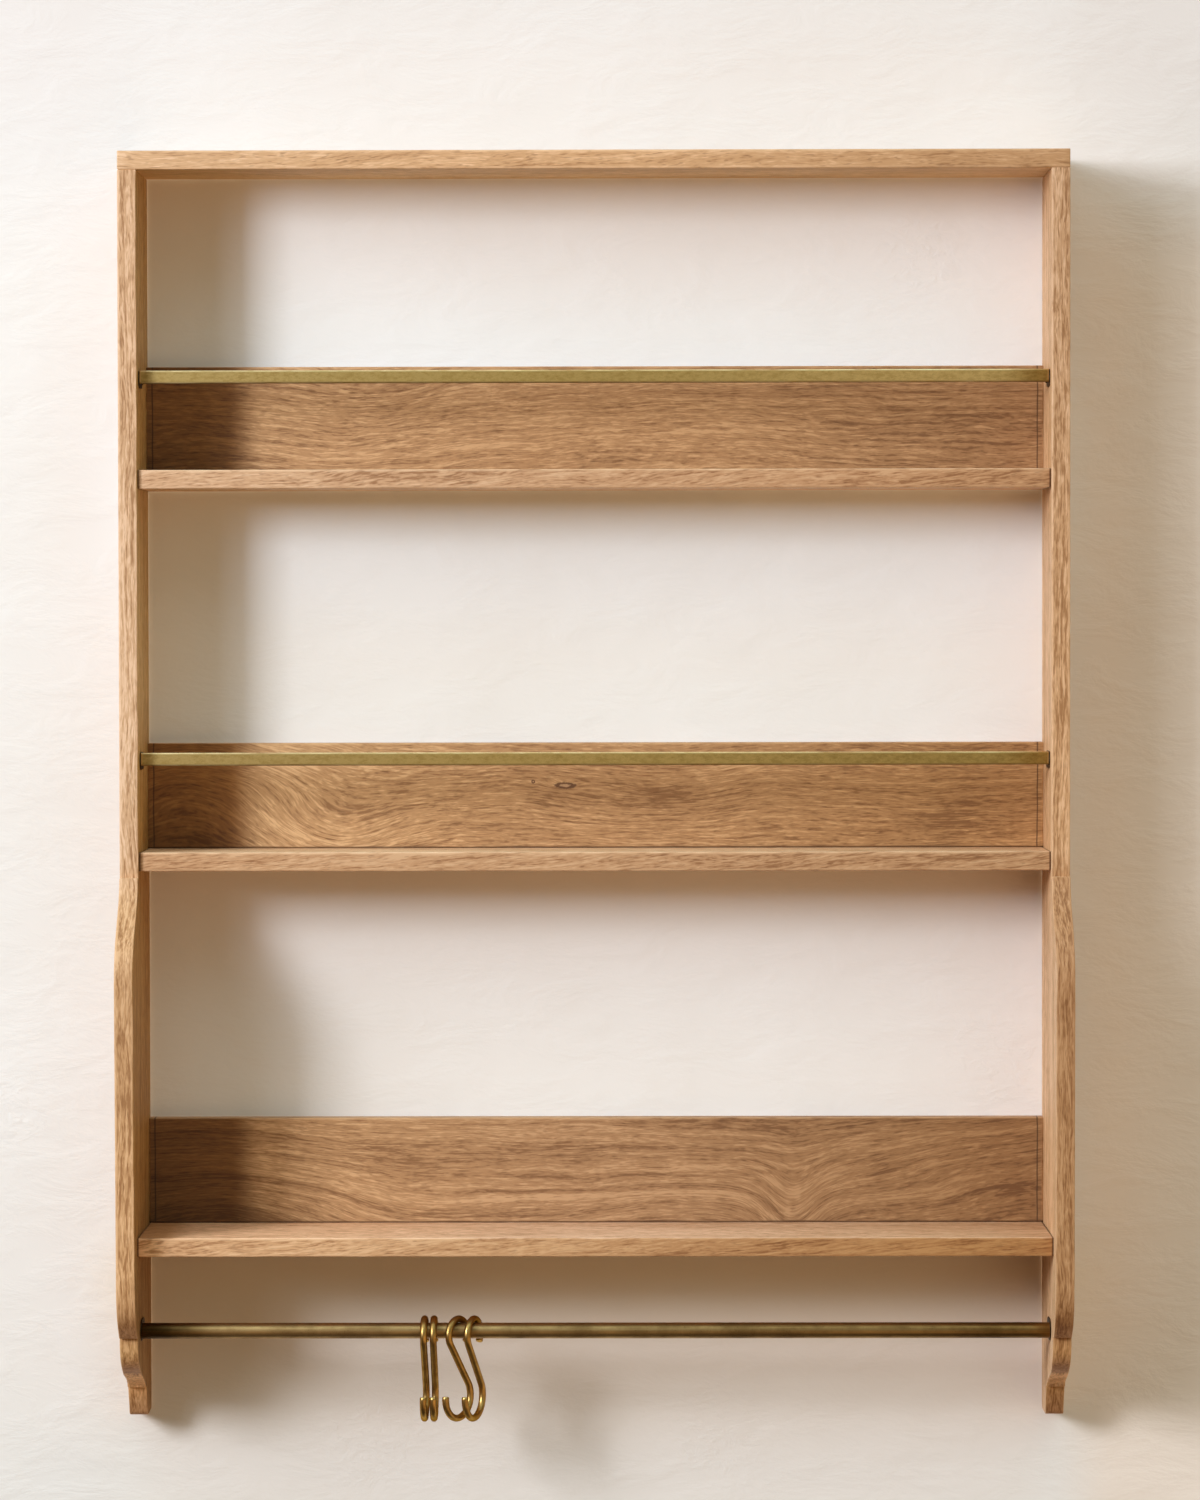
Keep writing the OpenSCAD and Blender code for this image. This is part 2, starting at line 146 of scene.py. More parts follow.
def toned(tree, place, colour, along, stops):
    """A colour times shares of red, green and blue that change along an axis; stops are (mm, shares).
    It paints light and shade onto the wall, the boards and the metal.
    """
    if len(stops) == 1:
        return multiplied(tree, colour, stops[0][1])
    first, last = stops[0][0], stops[-1][0]
    run = fed(tree, "ShaderNodeMapRange", {0: axis_of(tree, place, along), 1: first * MM, 2: last * MM})
    ramp = fed(tree, "ShaderNodeValToRGB", {0: run.outputs[0]})
    ramp.color_ramp.interpolation = "EASE"
    while len(ramp.color_ramp.elements) < len(stops):
        ramp.color_ramp.elements.new(0.5)
    for element, (spot, share) in zip(ramp.color_ramp.elements, stops):
        element.position = (spot - first) / (last - first)
        element.color = (*share, 1)
    return blended(tree, 1.0, colour, ramp.outputs[0], "MULTIPLY")


def new_material(name):
    """A new node material with a Principled shader; gives material, tree, shader and object coordinates."""
    material = bpy.data.materials.new(name)
    material.use_nodes = True
    tree = material.node_tree
    place = tree.nodes.new("ShaderNodeTexCoord").outputs["Object"]
    return material, tree, tree.nodes["Principled BSDF"], place


def surfaced(tree, shader, colour, roughness, height, strength, distance):
    """Gives a shader its colour, its roughness and a relief of some strength from a height."""
    bump = fed(tree, "ShaderNodeBump", {"Height": height, "Strength": strength, "Distance": distance})
    values = {"Base Color": colour, "Roughness": roughness, "Normal": bump.outputs["Normal"]}
    for title, value in values.items():
        feed(tree, shader.inputs[title], value)


WALL_GAP = 0.8 * MM
TOUCH_REACH = 3 * MM
EVEN = ((0, (1, 1, 1)),)


def plaster(name, colour, left_colour, only_seen=False, marks=(), bands=EVEN):
    """Limewash over trowelled plaster, seen from its front only, so that a view from behind shows the shelf.

    A surface that is only seen lets the room's light through to the shelf. Marks are scraped places
    (x, z, reach), in mm, and bands are stops of toned() up the wall behind the shelf: painted shade and
    painted light that deepen and warm the shadow under the lowest shelf and lighten the shade under the
    upper ones. A ray shorter than the touch reach goes through, so that light gets behind what hangs close
    to the wall.
    """
    material, tree, shader, place = new_material(name)
    # The wall is painted darker to the left, against the stronger window light there, with painted shade
    # above the shelf, a warm painted shade in the shadow to the right of it, and painted light and shade
    # behind it.
    x, z = (axis_of(tree, place, axis) for axis in (0, 2))
    base = blended(tree, between(tree, x, -0.6, 0.5), left_colour, colour)
    above = between(tree, z, 0.08, 0.34)
    base = blended(tree, above, base, multiplied(tree, base, (0.94, 0.905, 0.905)))
    warm_shade_beside = between(tree, x, 0.37, 0.43)
    for along, start, stop in ((x, 0.55, 1.0), (z, 0.10, 0.24), (z, -0.95, -1.3)):
        warm_shade_beside = calc(tree, "MULTIPLY", warm_shade_beside, between(tree, along, start, stop, 1.0, 0.0))
    base = blended(tree, warm_shade_beside, base, multiplied(tree, base, (1.05, 0.955, 0.875)))
    shading_behind = between(tree, calc(tree, "ABSOLUTE", x), 0.34, 0.44, 1.0, 0.0)
    base = blended(tree, shading_behind, base, toned(tree, place, base, 2, bands))
    cloud = calc(tree, "SUBTRACT", grainy(tree, place, (2.2, 2.2, 2.2), 4.0, 0.6), 0.5)
    share = calc(tree, "MULTIPLY_ADD", cloud, 0.5, 0.06)
    tinted = blended(tree, share, base, painted(214, 198, 178), "MULTIPLY")
    relief = between(tree, grainy(tree, place, (16, 16, 34), 5.0, 0.62, 0.4), 0.35, 0.7)
    scraped = between(tree, grainy(tree, place, (55, 55, 90), 5.0, 0.6, 1.2), 0.45, 0.62)
    for mark_x, mark_z, reach in marks:
        away = vectors(tree, "DISTANCE", place, (mark_x * MM, WALL_GAP, mark_z * MM))["Value"]
        near_mark = between(tree, away, 0.2 * reach * MM, reach * MM, 1.6, 0.0)
        relief = calc(tree, "MULTIPLY_ADD", near_mark, scraped, relief)
    surfaced(tree, shader, tinted, 0.9, relief, strength=0.12, distance=4 * MM)
    shader.inputs["Specular IOR Level"].default_value = 0.2
    path = tree.nodes.new("ShaderNodeLightPath").outputs
    back = tree.nodes.new("ShaderNodeNewGeometry").outputs["Backfacing"]
    through = calc(tree, "MAXIMUM", back, calc(tree, "LESS_THAN", path["Ray Length"], TOUCH_REACH))
    if only_seen:
        through = calc(tree, "MAXIMUM", through, calc(tree, "SUBTRACT", 1.0, path["Is Camera Ray"]))
    clear = tree.nodes.new("ShaderNodeBsdfTransparent")
    mix = fed(tree, "ShaderNodeMixShader", {0: through, 1: shader.outputs[0], 2: clear.outputs[0]})
    feed(tree, tree.nodes["Material Output"].inputs["Surface"], mix.outputs[0])
    return material


def sheet_of(name, corners, material):
    """A flat rectangle of the room, with its front on the side from which the corners run anticlockwise."""
    mesh = bpy.data.meshes.new(name)
    mesh.from_pydata(corners, [], [(0, 1, 2, 3)])
    mesh.materials.append(material)
    placed(name, mesh)


HALF, FRONT, CEILING, FLOOR = 7, -8, 4, -1.55
sheet_of(
    "wall",
    [(-HALF, WALL_GAP, FLOOR), (HALF, WALL_GAP, FLOOR),
     (HALF, WALL_GAP, CEILING), (-HALF, WALL_GAP, CEILING)],
    plaster("limewashed_plaster", painted(250, 242, 234), painted(236, 229, 221),
            marks=((266, 146, 45), (323, -519, 48), (-185, -823, 60), (102, -819, 50), (-480, -560, 40)),
            # bands: painted shade under the lowest shelf, painted light under the upper ones.
            bands=((-860, (1.04, 1.02, 1)), (-765, (1, 0.94, 0.87)), (-700, (1.03, 0.96, 0.82)),
                   (-640, (1, 1, 1)), (-200, (1.03, 1.04, 1.04)), (-60, (1.04, 1.12, 1.18)),
                   (150, (1.02, 1.04, 1.05)))),
)
sheet_of(
    "floor",
    [(-HALF, FRONT, FLOOR), (HALF, FRONT, FLOOR), (HALF, WALL_GAP, FLOOR), (-HALF, WALL_GAP, FLOOR)],
    plaster("pale_floor", painted(224, 208, 200), painted(224, 208, 200), only_seen=True),
)

# Soft daylight from a window up to the left, with its wider glow beyond it, and the room's own warm light.
# The rear half of the room is only seen and felt from behind the wall.
SHELF_MIDDLE = Vector((0, 0, -0.29))
for name, spot, size, energy in (
    ("window_light", (-2.5, -2.3, 0.59), (0.68, 0.89), 75),
    ("window_glow", (-3.6, -3.37, 1.4), (2.6, 2.4), 124),
):
    lamp = placed(name, bpy.data.lights.new(name, "AREA"))
    lamp.location = spot
    lamp.rotation_mode = "QUATERNION"
    lamp.rotation_quaternion = (Vector(spot) - SHELF_MIDDLE).to_track_quat("Z", "Y")
    lamp.data.shape = "RECTANGLE"
    lamp.data.size, lamp.data.size_y = size
    lamp.data.energy = energy
    lamp.data.color = (0.80, 0.88, 1.0)

# The room's own light is warm from low on the right, dark from the floor, and cool and bright from above.
world = bpy.data.worlds.new("room")
scene.world = world
world.use_nodes = True
sky = world.node_tree
way = sky.nodes.new("ShaderNodeTexCoord").outputs["Generated"]
right = between(sky, axis_of(sky, way, 0), -0.3, 0.3)
behind = between(sky, axis_of(sky, way, 1), 0.0, 0.35)
upward = axis_of(sky, way, 2)
low_light = blended(sky, right, (0.12, 0.07, 0.03, 1), (0.84, 0.58, 0.33, 1))
high_light = blended(sky, right, (0.12, 0.11, 0.10, 1), (0.36, 0.42, 0.36, 1))
in_front = blended(sky, between(sky, upward, -0.1, 0.1), low_light, high_light)
in_front = blended(sky, between(sky, upward, -0.7, -0.5), (0.05, 0.04, 0.03, 1), in_front)
in_front = blended(sky, between(sky, upward, 0.5, 0.7), in_front, (1.10, 1.38, 1.42, 1))
room_light = sky.nodes["Background"]
feed(sky, room_light.inputs["Color"], blended(sky, behind, in_front, (0.80, 0.78, 0.74, 1)))
seen = fed(sky, "ShaderNodeBackground", {"Color": painted(240, 232, 224)})
rays = sky.nodes.new("ShaderNodeLightPath").outputs
either = calc(sky, "MAXIMUM", rays["Is Camera Ray"], rays["Is Transmission Ray"])
either = calc(sky, "MAXIMUM", either, calc(sky, "MULTIPLY", rays["Is Glossy Ray"], behind))
choice = fed(sky, "ShaderNodeMixShader", {0: either, 1: room_light.outputs[0], 2: seen.outputs[0]})
feed(sky, sky.nodes["World Output"].inputs["Surface"], choice.outputs[0])


# Side panels: two single boards of mango wood, band-sawn to the outline below the middle shelf, then sanded
# so that every edge is slightly and unevenly eased. The grain runs from top to foot.

def bent(start, end, shares, runs=14):
    """Points of one curve of the outline; its handles are given as shares of the way."""
    start, end = Vector(start), Vector(end)
    way = end - start
    one, two = (start + Vector((way.x * s[0], way.y * s[1])) for s in shares)
    return [
        start * (1 - t) ** 3 + one * 3 * t * (1 - t) ** 2 + two * 3 * t * t * (1 - t) + end * t ** 3
        for t in (i / runs for i in range(runs + 1))
    ]


def turned_corner(centre, radius, first, runs=6):
    """Points of a quarter round of the outline, clockwise from an angle in degrees."""
    angles = (math.radians(first - 90 * i / runs) for i in range(runs + 1))
    return [Vector(centre) + radius * Vector((math.cos(a), math.sin(a))) for a in angles]


def mesh_of(name, made):
    """The mesh of a finished shape, with its faces outwards."""
    bmesh.ops.recalc_face_normals(made, faces=made.faces)
    mesh = bpy.data.meshes.new(name)
    made.to_mesh(mesh)
    made.free()
    return mesh


def smoothed(mesh):
    """A mesh made smooth over its rounded parts, with its corners left sharp."""
    mesh.polygons.foreach_set("use_smooth", [True] * len(mesh.polygons))
    mesh.set_sharp_from_angle(angle=math.radians(38))
    return mesh


SHARP_CORNER = math.radians(25)


def stations_of(points, step):
    """Places round an outline, as (place, mitre inwards, way outwards): a sharp corner is rounded by four."""
    stations = []
    for i, here in enumerate(points):
        before, after = points[i - 1], points[(i + 1) % len(points)]
        to, fro = (here - before).normalized(), (after - here).normalized()
        inward = [Vector((-d.y, d.x)) for d in (to, fro)]
        mitre = (inward[0] + inward[1]) / (1 + inward[0].dot(inward[1]))
        turn = math.atan2(to.x * fro.y - to.y * fro.x, to.dot(fro))
        outs = [None]
        if turn > SHARP_CORNER:
            outs = [-(inward[0] * (3 - k) + inward[1] * k).normalized() for k in range(4)]
        stations += [(here, mitre, out) for out in outs]
        runs = int((after - here).length / step)
        stations += [(here.lerp(after, k / runs), inward[1], None) for k in range(1, runs)]
    return stations


def rings_of(low, high, easing, hold):
    """Rings of a piece from one broad face to the other, as (inset, level, 1 where it is worn)."""
    rings = [(hold, low, 0), (easing, low, 1)]
    for angle in (math.radians(30), math.radians(60)):
        rings.append((easing * (1 - math.sin(angle)), low + easing * (1 - math.cos(angle)), 1))
    rings += [(0, low + easing, 1), (0, low + hold, 0)]
    other = [(inset, low + high - level, worn) for inset, level, worn in reversed(rings)]
    return rings + [(0, (low + high) / 2, 0)] + other


WAVES = 45


def eased_piece(name, outline, low, high, lie, easing, seed, step=0.009, wander=0.5):
    """A flat piece cut to an outline between two levels, with all its edges eased by sanding.

    The outline is a closed run of 2-D points, and lie takes (u, v, level) to the piece's place.
    The point attribute "worn" is 1 on the eased edges and falls to 0 just inside them.
    """
    points = [Vector(p) for p in outline]
    area = sum(a.x * b.y - b.x * a.y for a, b in zip(points, points[1:] + points[:1]))
    if area < 0:
        points.reverse()
    stations = stations_of(points, step)
    hold = 2.6 * easing
    middle = (low + high) / 2
    start = Vector((seed * 7.3, 1.7, 0))
    made = bmesh.new()
    worn_layer = made.verts.layers.float.new("worn")
    loops = []
    for inset, level, worn in rings_of(low, high, easing, hold):
        loop = []
        for here, mitre, out in stations:
            wave = 1 + wander * noise.noise(Vector((here.x, here.y, level)) * WAVES + start)
            depth = inset * wave if inset < hold else inset
            rise = 0
            if worn and inset < easing:
                rise = easing * (wave - 1) * (1 if level < middle else -1)
            at = here + mitre * depth
            if out is not None and depth < easing:
                at = here + mitre * easing + out * (easing - depth)
            vert = made.verts.new(lie(at.x, at.y, min(max(level + rise, low), high)))
            vert[worn_layer] = worn
            loop.append(vert)
        loops.append(loop)
    count = len(stations)
    for one, two in zip(loops, loops[1:]):
        for i in range(count):
            j = (i + 1) % count
            made.faces.new((one[i], one[j], two[j], two[i]))
    made.faces.new(list(reversed(loops[0])))
    made.faces.new(loops[-1])
    bmesh.ops.remove_doubles(made, verts=made.verts, dist=1e-6)
    return placed(name, smoothed(mesh_of(name, made)))


def recoated(piece, material):
    """Gives a piece or a CAD node one material in place of what it had."""
    piece.data.materials.clear()
    piece.data.materials.append(material)


def fitted(piece, body, material, finish, *nodes):
    """Gives a finished piece its material and its body, and hides the CAD nodes that it stands for."""
    recoated(piece, material)
    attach(piece, body)
    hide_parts(*nodes)
    return piece


def new_group(name, inputs, outputs, kind="ShaderNodeTree"):
    """A node group with sockets (title, type) or (title, type, value); gives it and its inner sockets."""
    tree = bpy.data.node_groups.new(name, kind)
    for way, sockets in (("INPUT", inputs), ("OUTPUT", outputs)):
        for title, sort, *value in sockets:
            socket = tree.interface.new_socket(name=title, in_out=way, socket_type="NodeSocket" + sort)
            if value:
                socket.default_value = value[0]
    return tree, tree.nodes.new("NodeGroupInput").outputs, tree.nodes.new("NodeGroupOutput").inputs


# Shader group: mango wood. Place has x along the grain, and Bend shifts the grain sideways round figures.
mango, given, result = new_group(
    "mango wood",
    (("Place", "Vector"), ("Bend", "Float", 0.0), ("Pith", "Vector"),
     ("Pale", "Color", painted(222, 180, 137)), ("Tan", "Color", painted(203, 158, 113)),
     ("Brown", "Color", painted(160, 113, 70)), ("Bands", "Float", 0.5), ("Fibres", "Float", 0.5),
     ("Flecks", "Float", 0.5), ("Figure", "Float", 0.3), ("Glints", "Float", 0.2), ("Tone", "Float", 0.0),
     ("Worn", "Float", 0.0)),
    (("Colour", "Color"), ("Roughness", "Float"), ("Height", "Float")),
)
DRIFT = 16 * MM
along = axis_of(mango, given["Place"], 0)
drift = grainy(mango, given["Place"], (8, 20, 20), give="Color")


def drifted(axis):
    """A place across the grain, shifted a little so that no fibre runs quite straight."""
    off = calc(mango, "SUBTRACT", axis_of(mango, drift, axis), 0.5)
    return calc(mango, "MULTIPLY_ADD", off, DRIFT, axis_of(mango, given["Place"], axis))


rise = calc(mango, "ADD", drifted(2), given["Bend"])
grain = fed(mango, "ShaderNodeCombineXYZ", enumerate((along, drifted(1), rise))).outputs[0]
from_pith = vectors(mango, "SUBTRACT", grain, given["Pith"])["Vector"]
reach = vectors(mango, "LENGTH", vectors(mango, "MULTIPLY", from_pith, (0, 1, 1))["Vector"])["Value"]
ring_place = fed(mango, "ShaderNodeCombineXYZ", {0: calc(mango, "MULTIPLY", along, 1.3), 1: reach}).outputs[0]
bands = grainy(mango, ring_place, (1, 90, 1), 5.0, 0.62)
lines = grainy(mango, grain, (3.2, 370, 370), 4.0, 0.68)
fibres = grainy(mango, grain, (44, 500, 500), 2.0, 0.6, 0.2)
hair = grainy(mango, grain, (120, 1050, 1050), 1.0)
dashes = grainy(mango, grain, (110, 760, 760), 1.0)
glints = grainy(mango, grain, (50, 400, 400), 2.0, 0.6, 0.3)
mottle = grainy(mango, grain, (150, 330, 330), 4.0, 0.75, 0.4)
flames = grainy(mango, grain, (20, 115, 115), 2.0, 0.5, 0.6)
broad = grainy(mango, grain, (4, 15, 15), 2.0)
shade = calc(mango, "ADD", 0.5, given["Tone"])
for pattern, strength, most in (
    (bands, given["Bands"], 2.4), (lines, given["Fibres"], 2.2), (fibres, given["Fibres"], 1.5),
    (hair, given["Fibres"], 1.3), (mottle, given["Figure"], 1.2), (flames, given["Figure"], 1.0),
    (broad, 1.0, 0.6),
):
    swing = calc(mango, "MULTIPLY", calc(mango, "SUBTRACT", pattern, 0.5), most)
    shade = calc(mango, "MULTIPLY_ADD", swing, strength, shade)
shade = calc(mango, "MULTIPLY_ADD", between(mango, glints, 0.55, 0.68), given["Glints"], shade)
colour = blended(mango, between(mango, shade, 0.0, 0.5), given["Brown"], given["Tan"])
colour = blended(mango, between(mango, shade, 0.5, 1.0), colour, given["Pale"])
pores = calc(mango, "MULTIPLY", between(mango, dashes, 0.58, 0.72), given["Flecks"])
colour = blended(mango, pores, colour, multiplied(mango, colour, (0.46, 0.38, 0.30)))
uneven = between(mango, grainy(mango, given["Place"], (60, 140, 140), 3.0), 0.35, 0.6, 0.15, 0.75)
colour = blended(mango, calc(mango, "MULTIPLY", given["Worn"], uneven), colour, given["Pale"])
height = calc(mango, "MULTIPLY_ADD", fibres, 0.5, calc(mango, "MULTIPLY", hair, 0.35))
feed(mango, result["Colour"], colour)
feed(mango, result["Roughness"], calc(mango, "MULTIPLY_ADD", shade, -0.10, 0.62))
feed(mango, result["Height"], calc(mango, "SUBTRACT", height, pores))

# Shader group: a figure in the grain, such as an arch or a knot. Bend pushes the grain round its centre.
swirl, given, result = new_group(
    "grain figure",
    (("Place", "Vector"), ("Centre", "Vector"), ("Reach", "Vector", (0.05, 1.0, 0.03)),
     ("Lift", "Float", 0.0)),
    (("Bend", "Float"), ("Near", "Float")),
)
away = vectors(swirl, "SUBTRACT", given["Place"], given["Centre"])["Vector"]
shares = vectors(swirl, "DIVIDE", away, given["Reach"])["Vector"]
square = vectors(swirl, "DOT_PRODUCT", shares, shares)["Value"]
near = calc(swirl, "POWER", math.e, calc(swirl, "MULTIPLY", square, -1.0))
feed(swirl, result["Near"], near)
feed(swirl, result["Bend"], calc(swirl, "MULTIPLY", near, given["Lift"]))

UPRIGHT = (0, math.radians(90), 0)
HONEY = ((228, 186, 144), (204, 159, 114), (166, 120, 76))


def worn_edges(tree):
    """How worn a piece is at each point."""
    return fed(tree, "ShaderNodeAttribute", {}, attribute_name="worn").outputs["Fac"]


def wood(name, turn, shift, colours, pith=(0, 0.09, 0.02), bands=0.5, fibres=0.5, flecks=0.5, figure=0.3,
         glints=0.25, figures=(), spots=(), knots=(), seams=(), painted_shading=()):
    """Mango wood for one board.

    turn and shift place the board's own grain, figures are (centre x, z, reach x, z, lift),
    spots are (centre x, z, reach x, z, darkness), knots are (centre x, z, reach x, z) and seams are dark
    lines (axis, place, width). The last list is painted light and shade, as (axis, side, along, stops): the
    faces that look to that side of that axis take the stops of toned(), and a side beyond 1 takes in
    slanting faces too.
    """
    material, tree, shader, place = new_material(name)
    normal = tree.nodes.new("ShaderNodeTexCoord").outputs["Normal"]

    def swirl_at(x, z, wide, high, lift=0.0):
        """One figure of the grain, with its centre and reach in mm."""
        centre, reach = (x * MM, 0, z * MM), (wide * MM, 1, high * MM)
        values = {"Place": place, "Centre": centre, "Reach": reach, "Lift": lift}
        return fed(tree, "ShaderNodeGroup", values, node_tree=swirl).outputs

    # On the front edge of an upright board depth counts for less, so that its grain runs on round the curves.
    parts = [axis_of(tree, place, axis) for axis in range(3)]
    if turn == UPRIGHT:
        facing = calc(tree, "ABSOLUTE", axis_of(tree, normal, 1))
        parts[1] = calc(tree, "MULTIPLY", parts[1], between(tree, facing, 0.3, 0.7, 1.0, 0.3))
    grain_place = fed(tree, "ShaderNodeCombineXYZ", enumerate(parts)).outputs[0]
    mapping = fed(tree, "ShaderNodeMapping", {"Vector": grain_place, "Rotation": turn, "Location": shift})
    bend, tone, clean = 0.0, 0.0, 1.0
    for x, z, wide, high, lift in figures:
        bend = calc(tree, "ADD", bend, swirl_at(x, z, wide, high, lift * MM)["Bend"])
    for x, z, wide, high, darkness in spots:
        tone = calc(tree, "ADD", tone, swirl_at(x, z, wide, high, -darkness)["Bend"])
    for axis, spot, width in seams:
        wobble = calc(tree, "MULTIPLY_ADD", grainy(tree, place, (35, 35, 45), 2.0), 1.6 * MM, -0.8 * MM)
        line = axis_of(tree, place, axis)
        if axis == 0:
            line = calc(tree, "ABSOLUTE", line)
        off = calc(tree, "ADD", calc(tree, "SUBTRACT", line, spot * MM), wobble)
        off = calc(tree, "ABSOLUTE", off)
        clean = calc(tree, "MULTIPLY", clean, between(tree, off, 0.4 * width * MM, width * MM))
    values = {"Place": mapping.outputs[0], "Bend": bend, "Pith": pith, "Bands": bands, "Fibres": fibres,
              "Flecks": flecks, "Figure": figure, "Glints": glints, "Tone": tone,
              "Worn": calc(tree, "MULTIPLY", worn_edges(tree), clean)}
    values.update(zip(("Pale", "Tan", "Brown"), (painted(*colour) for colour in colours)))
    body = fed(tree, "ShaderNodeGroup", values, node_tree=mango).outputs
    colour = body["Colour"]
    if seams:
        colour = blended(tree, calc(tree, "MULTIPLY_ADD", clean, -0.8, 0.8), colour, painted(92, 62, 38))
    for knot in knots:
        ragged = calc(tree, "MULTIPLY_ADD", grainy(tree, place, (500, 500, 900), 2.0), 0.5, -0.25)
        near = calc(tree, "ADD", swirl_at(*knot)["Near"], ragged)
        colour = blended(tree, between(tree, near, 0.22, 0.5), colour, painted(108, 72, 46))
        colour = blended(tree, between(tree, near, 0.72, 0.95), colour, painted(186, 146, 108))
    plain = colour
    # Painted light and shade for the faces that look each way.
    for axis, side, along, stops in painted_shading:
        facing = between(tree, calc(tree, "MULTIPLY", axis_of(tree, normal, axis), side), 0.6, 0.95)
        colour = blended(tree, facing, colour, toned(tree, place, plain, along, stops))
    surfaced(tree, shader, colour, body["Roughness"], body["Height"], strength=0.35, distance=0.25 * MM)
    shader.inputs["Specular IOR Level"].default_value = 0.4
    return material


# The outline is (depth, height) in mm, from the top at the wall down the front edge to the foot.
outline = [(0, 203), (99, 203), (99, -364)]
outline += bent((103, -364), (151, -447), ((0.06, 0.36), (1, 0.48)))
outline += bent((144, -687), (120, -732), ((0.08, 0.55), (0.45, 0.76)))
outline += bent((116, -732), (51, -781), ((0, 0.76), (0.92, 0.74)))
outline += [(47, -781)] + turned_corner((31, -801), 5, 0) + turned_corner((5, -801), 5, -90)
outline = [Vector(p) * MM for p in outline]

# Heights of the places on the front edge where its tone changes, then the tones of the other faces. These
# are painted light and shade: lit and shaded bands on the foot's mouldings and the shoulder as the light
# falls on their slopes, a front darker low down, partly the wood's own tone and partly painted shade where
# the light falls off, a right side painted darker where the light falls off, the left side's lower inner
# face darker in its painted shade, and lit and shaded downward faces of the foot.
FOOT, LIP, HOLLOW, OGEE, SHOULDER = -806, -771, -762, -744, -724
BELLY, SWELL, SHAFT, TOP = -700, -400, -330, 203
PLAIN = ((0, (1, 0.96, 0.86)),)
UNDERSIDE_SHADING = ((-784, (0.80, 0.62, 0.42)), (-777, (1.32, 1.16, 0.86)), (-768, (1.32, 1.16, 0.86)),
         (-762, (0.72, 0.55, 0.36)))
low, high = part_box("side_panel_right")
for name, side, shift, front, inner in (
    ("side_panel_left", -1, (0.37, 0.11, 0.23),
     ((FOOT, (0.65, 0.54, 0.44)), (LIP, (1.30, 1.14, 0.88)), (HOLLOW, (0.80, 0.63, 0.38)),
      (OGEE, (1.00, 0.91, 0.72)), (SHOULDER, (0.62, 0.48, 0.32)), (BELLY, (0.99, 0.90, 0.78)),
      (SWELL, (0.86, 0.78, 0.68)), (SHAFT, (1.05, 1.05, 1.12)), (TOP, (0.98, 0.95, 0.98))),
     ((-790, (0.55, 0.44, 0.24)), (-400, (0.70, 0.58, 0.26)), (-190, (0.92, 0.93, 0.66)),
      (150, (0.78, 0.74, 0.44)))),
    ("side_panel_right", 1, (1.9, 0.4, 0.71),
     ((FOOT, (0.62, 0.48, 0.37)), (LIP, (0.84, 0.68, 0.42)), (HOLLOW, (0.64, 0.48, 0.30)),
      (OGEE, (1.00, 0.86, 0.66)), (SHOULDER, (0.56, 0.40, 0.24)), (BELLY, (0.79, 0.66, 0.53)),
      (SWELL, (0.72, 0.58, 0.46)), (SHAFT, (1.09, 1.0, 0.94)), (TOP, (0.99, 0.93, 0.94))),
     ((0, (1.05, 1.04, 1.0)),)),
):
    panel = eased_piece(
        name, outline, low.x, high.x, lambda u, v, level, side=side: (side * level, -u, v), 0.9 * MM, side + 3
    )
    grain_of = wood(
        name + "_wood", UPRIGHT, shift, HONEY, pith=(0, 0.12, 0.6), bands=0.4, fibres=1.1, flecks=0.3,
        figure=0.55, glints=0.4,
        painted_shading=((1, -1.6, 2, front), (0, -side, 2, inner), (0, side, 2, PLAIN), (2, -1, 2, UNDERSIDE_SHADING))
    )
    fitted(panel, "shelf_unit", grain_of, "board_wood", name)


# Top board: lies on the upper ends of both sides and is dowelled down to them. Its front edge shows long
# slanting streaks, and its ends show end grain.

def lying(u, v, level):
    """The place of a point in a board that lies flat."""
    return (u, v, level)


def standing(u, v, level):
    """The place of a point in a board that stands along the wall."""
    return (u, level, v)


def plank(name, lie, easing, seed, trim=0.0, wander=0.5):
    """A straight board in the place of its CAD node, lying or standing, with its ends trimmed off."""
    low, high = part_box(name)
    up, thick = (1, 2) if lie is lying else (2, 1)
    start, end = low.x + trim, high.x - trim
    corners = [(start, low[up]), (end, low[up]), (end, high[up]), (start, high[up])]
    return eased_piece(name, corners, low[thick], high[thick], lie, easing, seed, wander=wander)


FLAT = (0, 0, 0)
# The top board's front is painted lighter to the left and darker to the right, where the light falls off; its
# top is painted a little darker and its underside lighter, as painted shade and painted bounce light.
fitted(
    plank("top_board", lying, 0.9 * MM, 11),
    "shelf_unit",
    wood("top_board_wood", FLAT, (0.3, 0.07, 0.55), HONEY, pith=(0, 0.05, 0.63), fibres=0.6, figure=0.25,
         figures=((-330, 210, 160, 60, 22), (260, 214, 200, 50, -12)),
         painted_shading=((1, -1, 0, ((-381, (1.04, 1.02, 1.02)), (0, (1.08, 1.02, 0.97)), (381, (0.93, 0.84, 0.76)))),
                (2, 1, 0, ((0, (0.9, 0.88, 0.84)),)), (2, -1, 0, ((0, (1.25, 1.35, 1.2)),)))),
    "board_wood", "top_board",
)
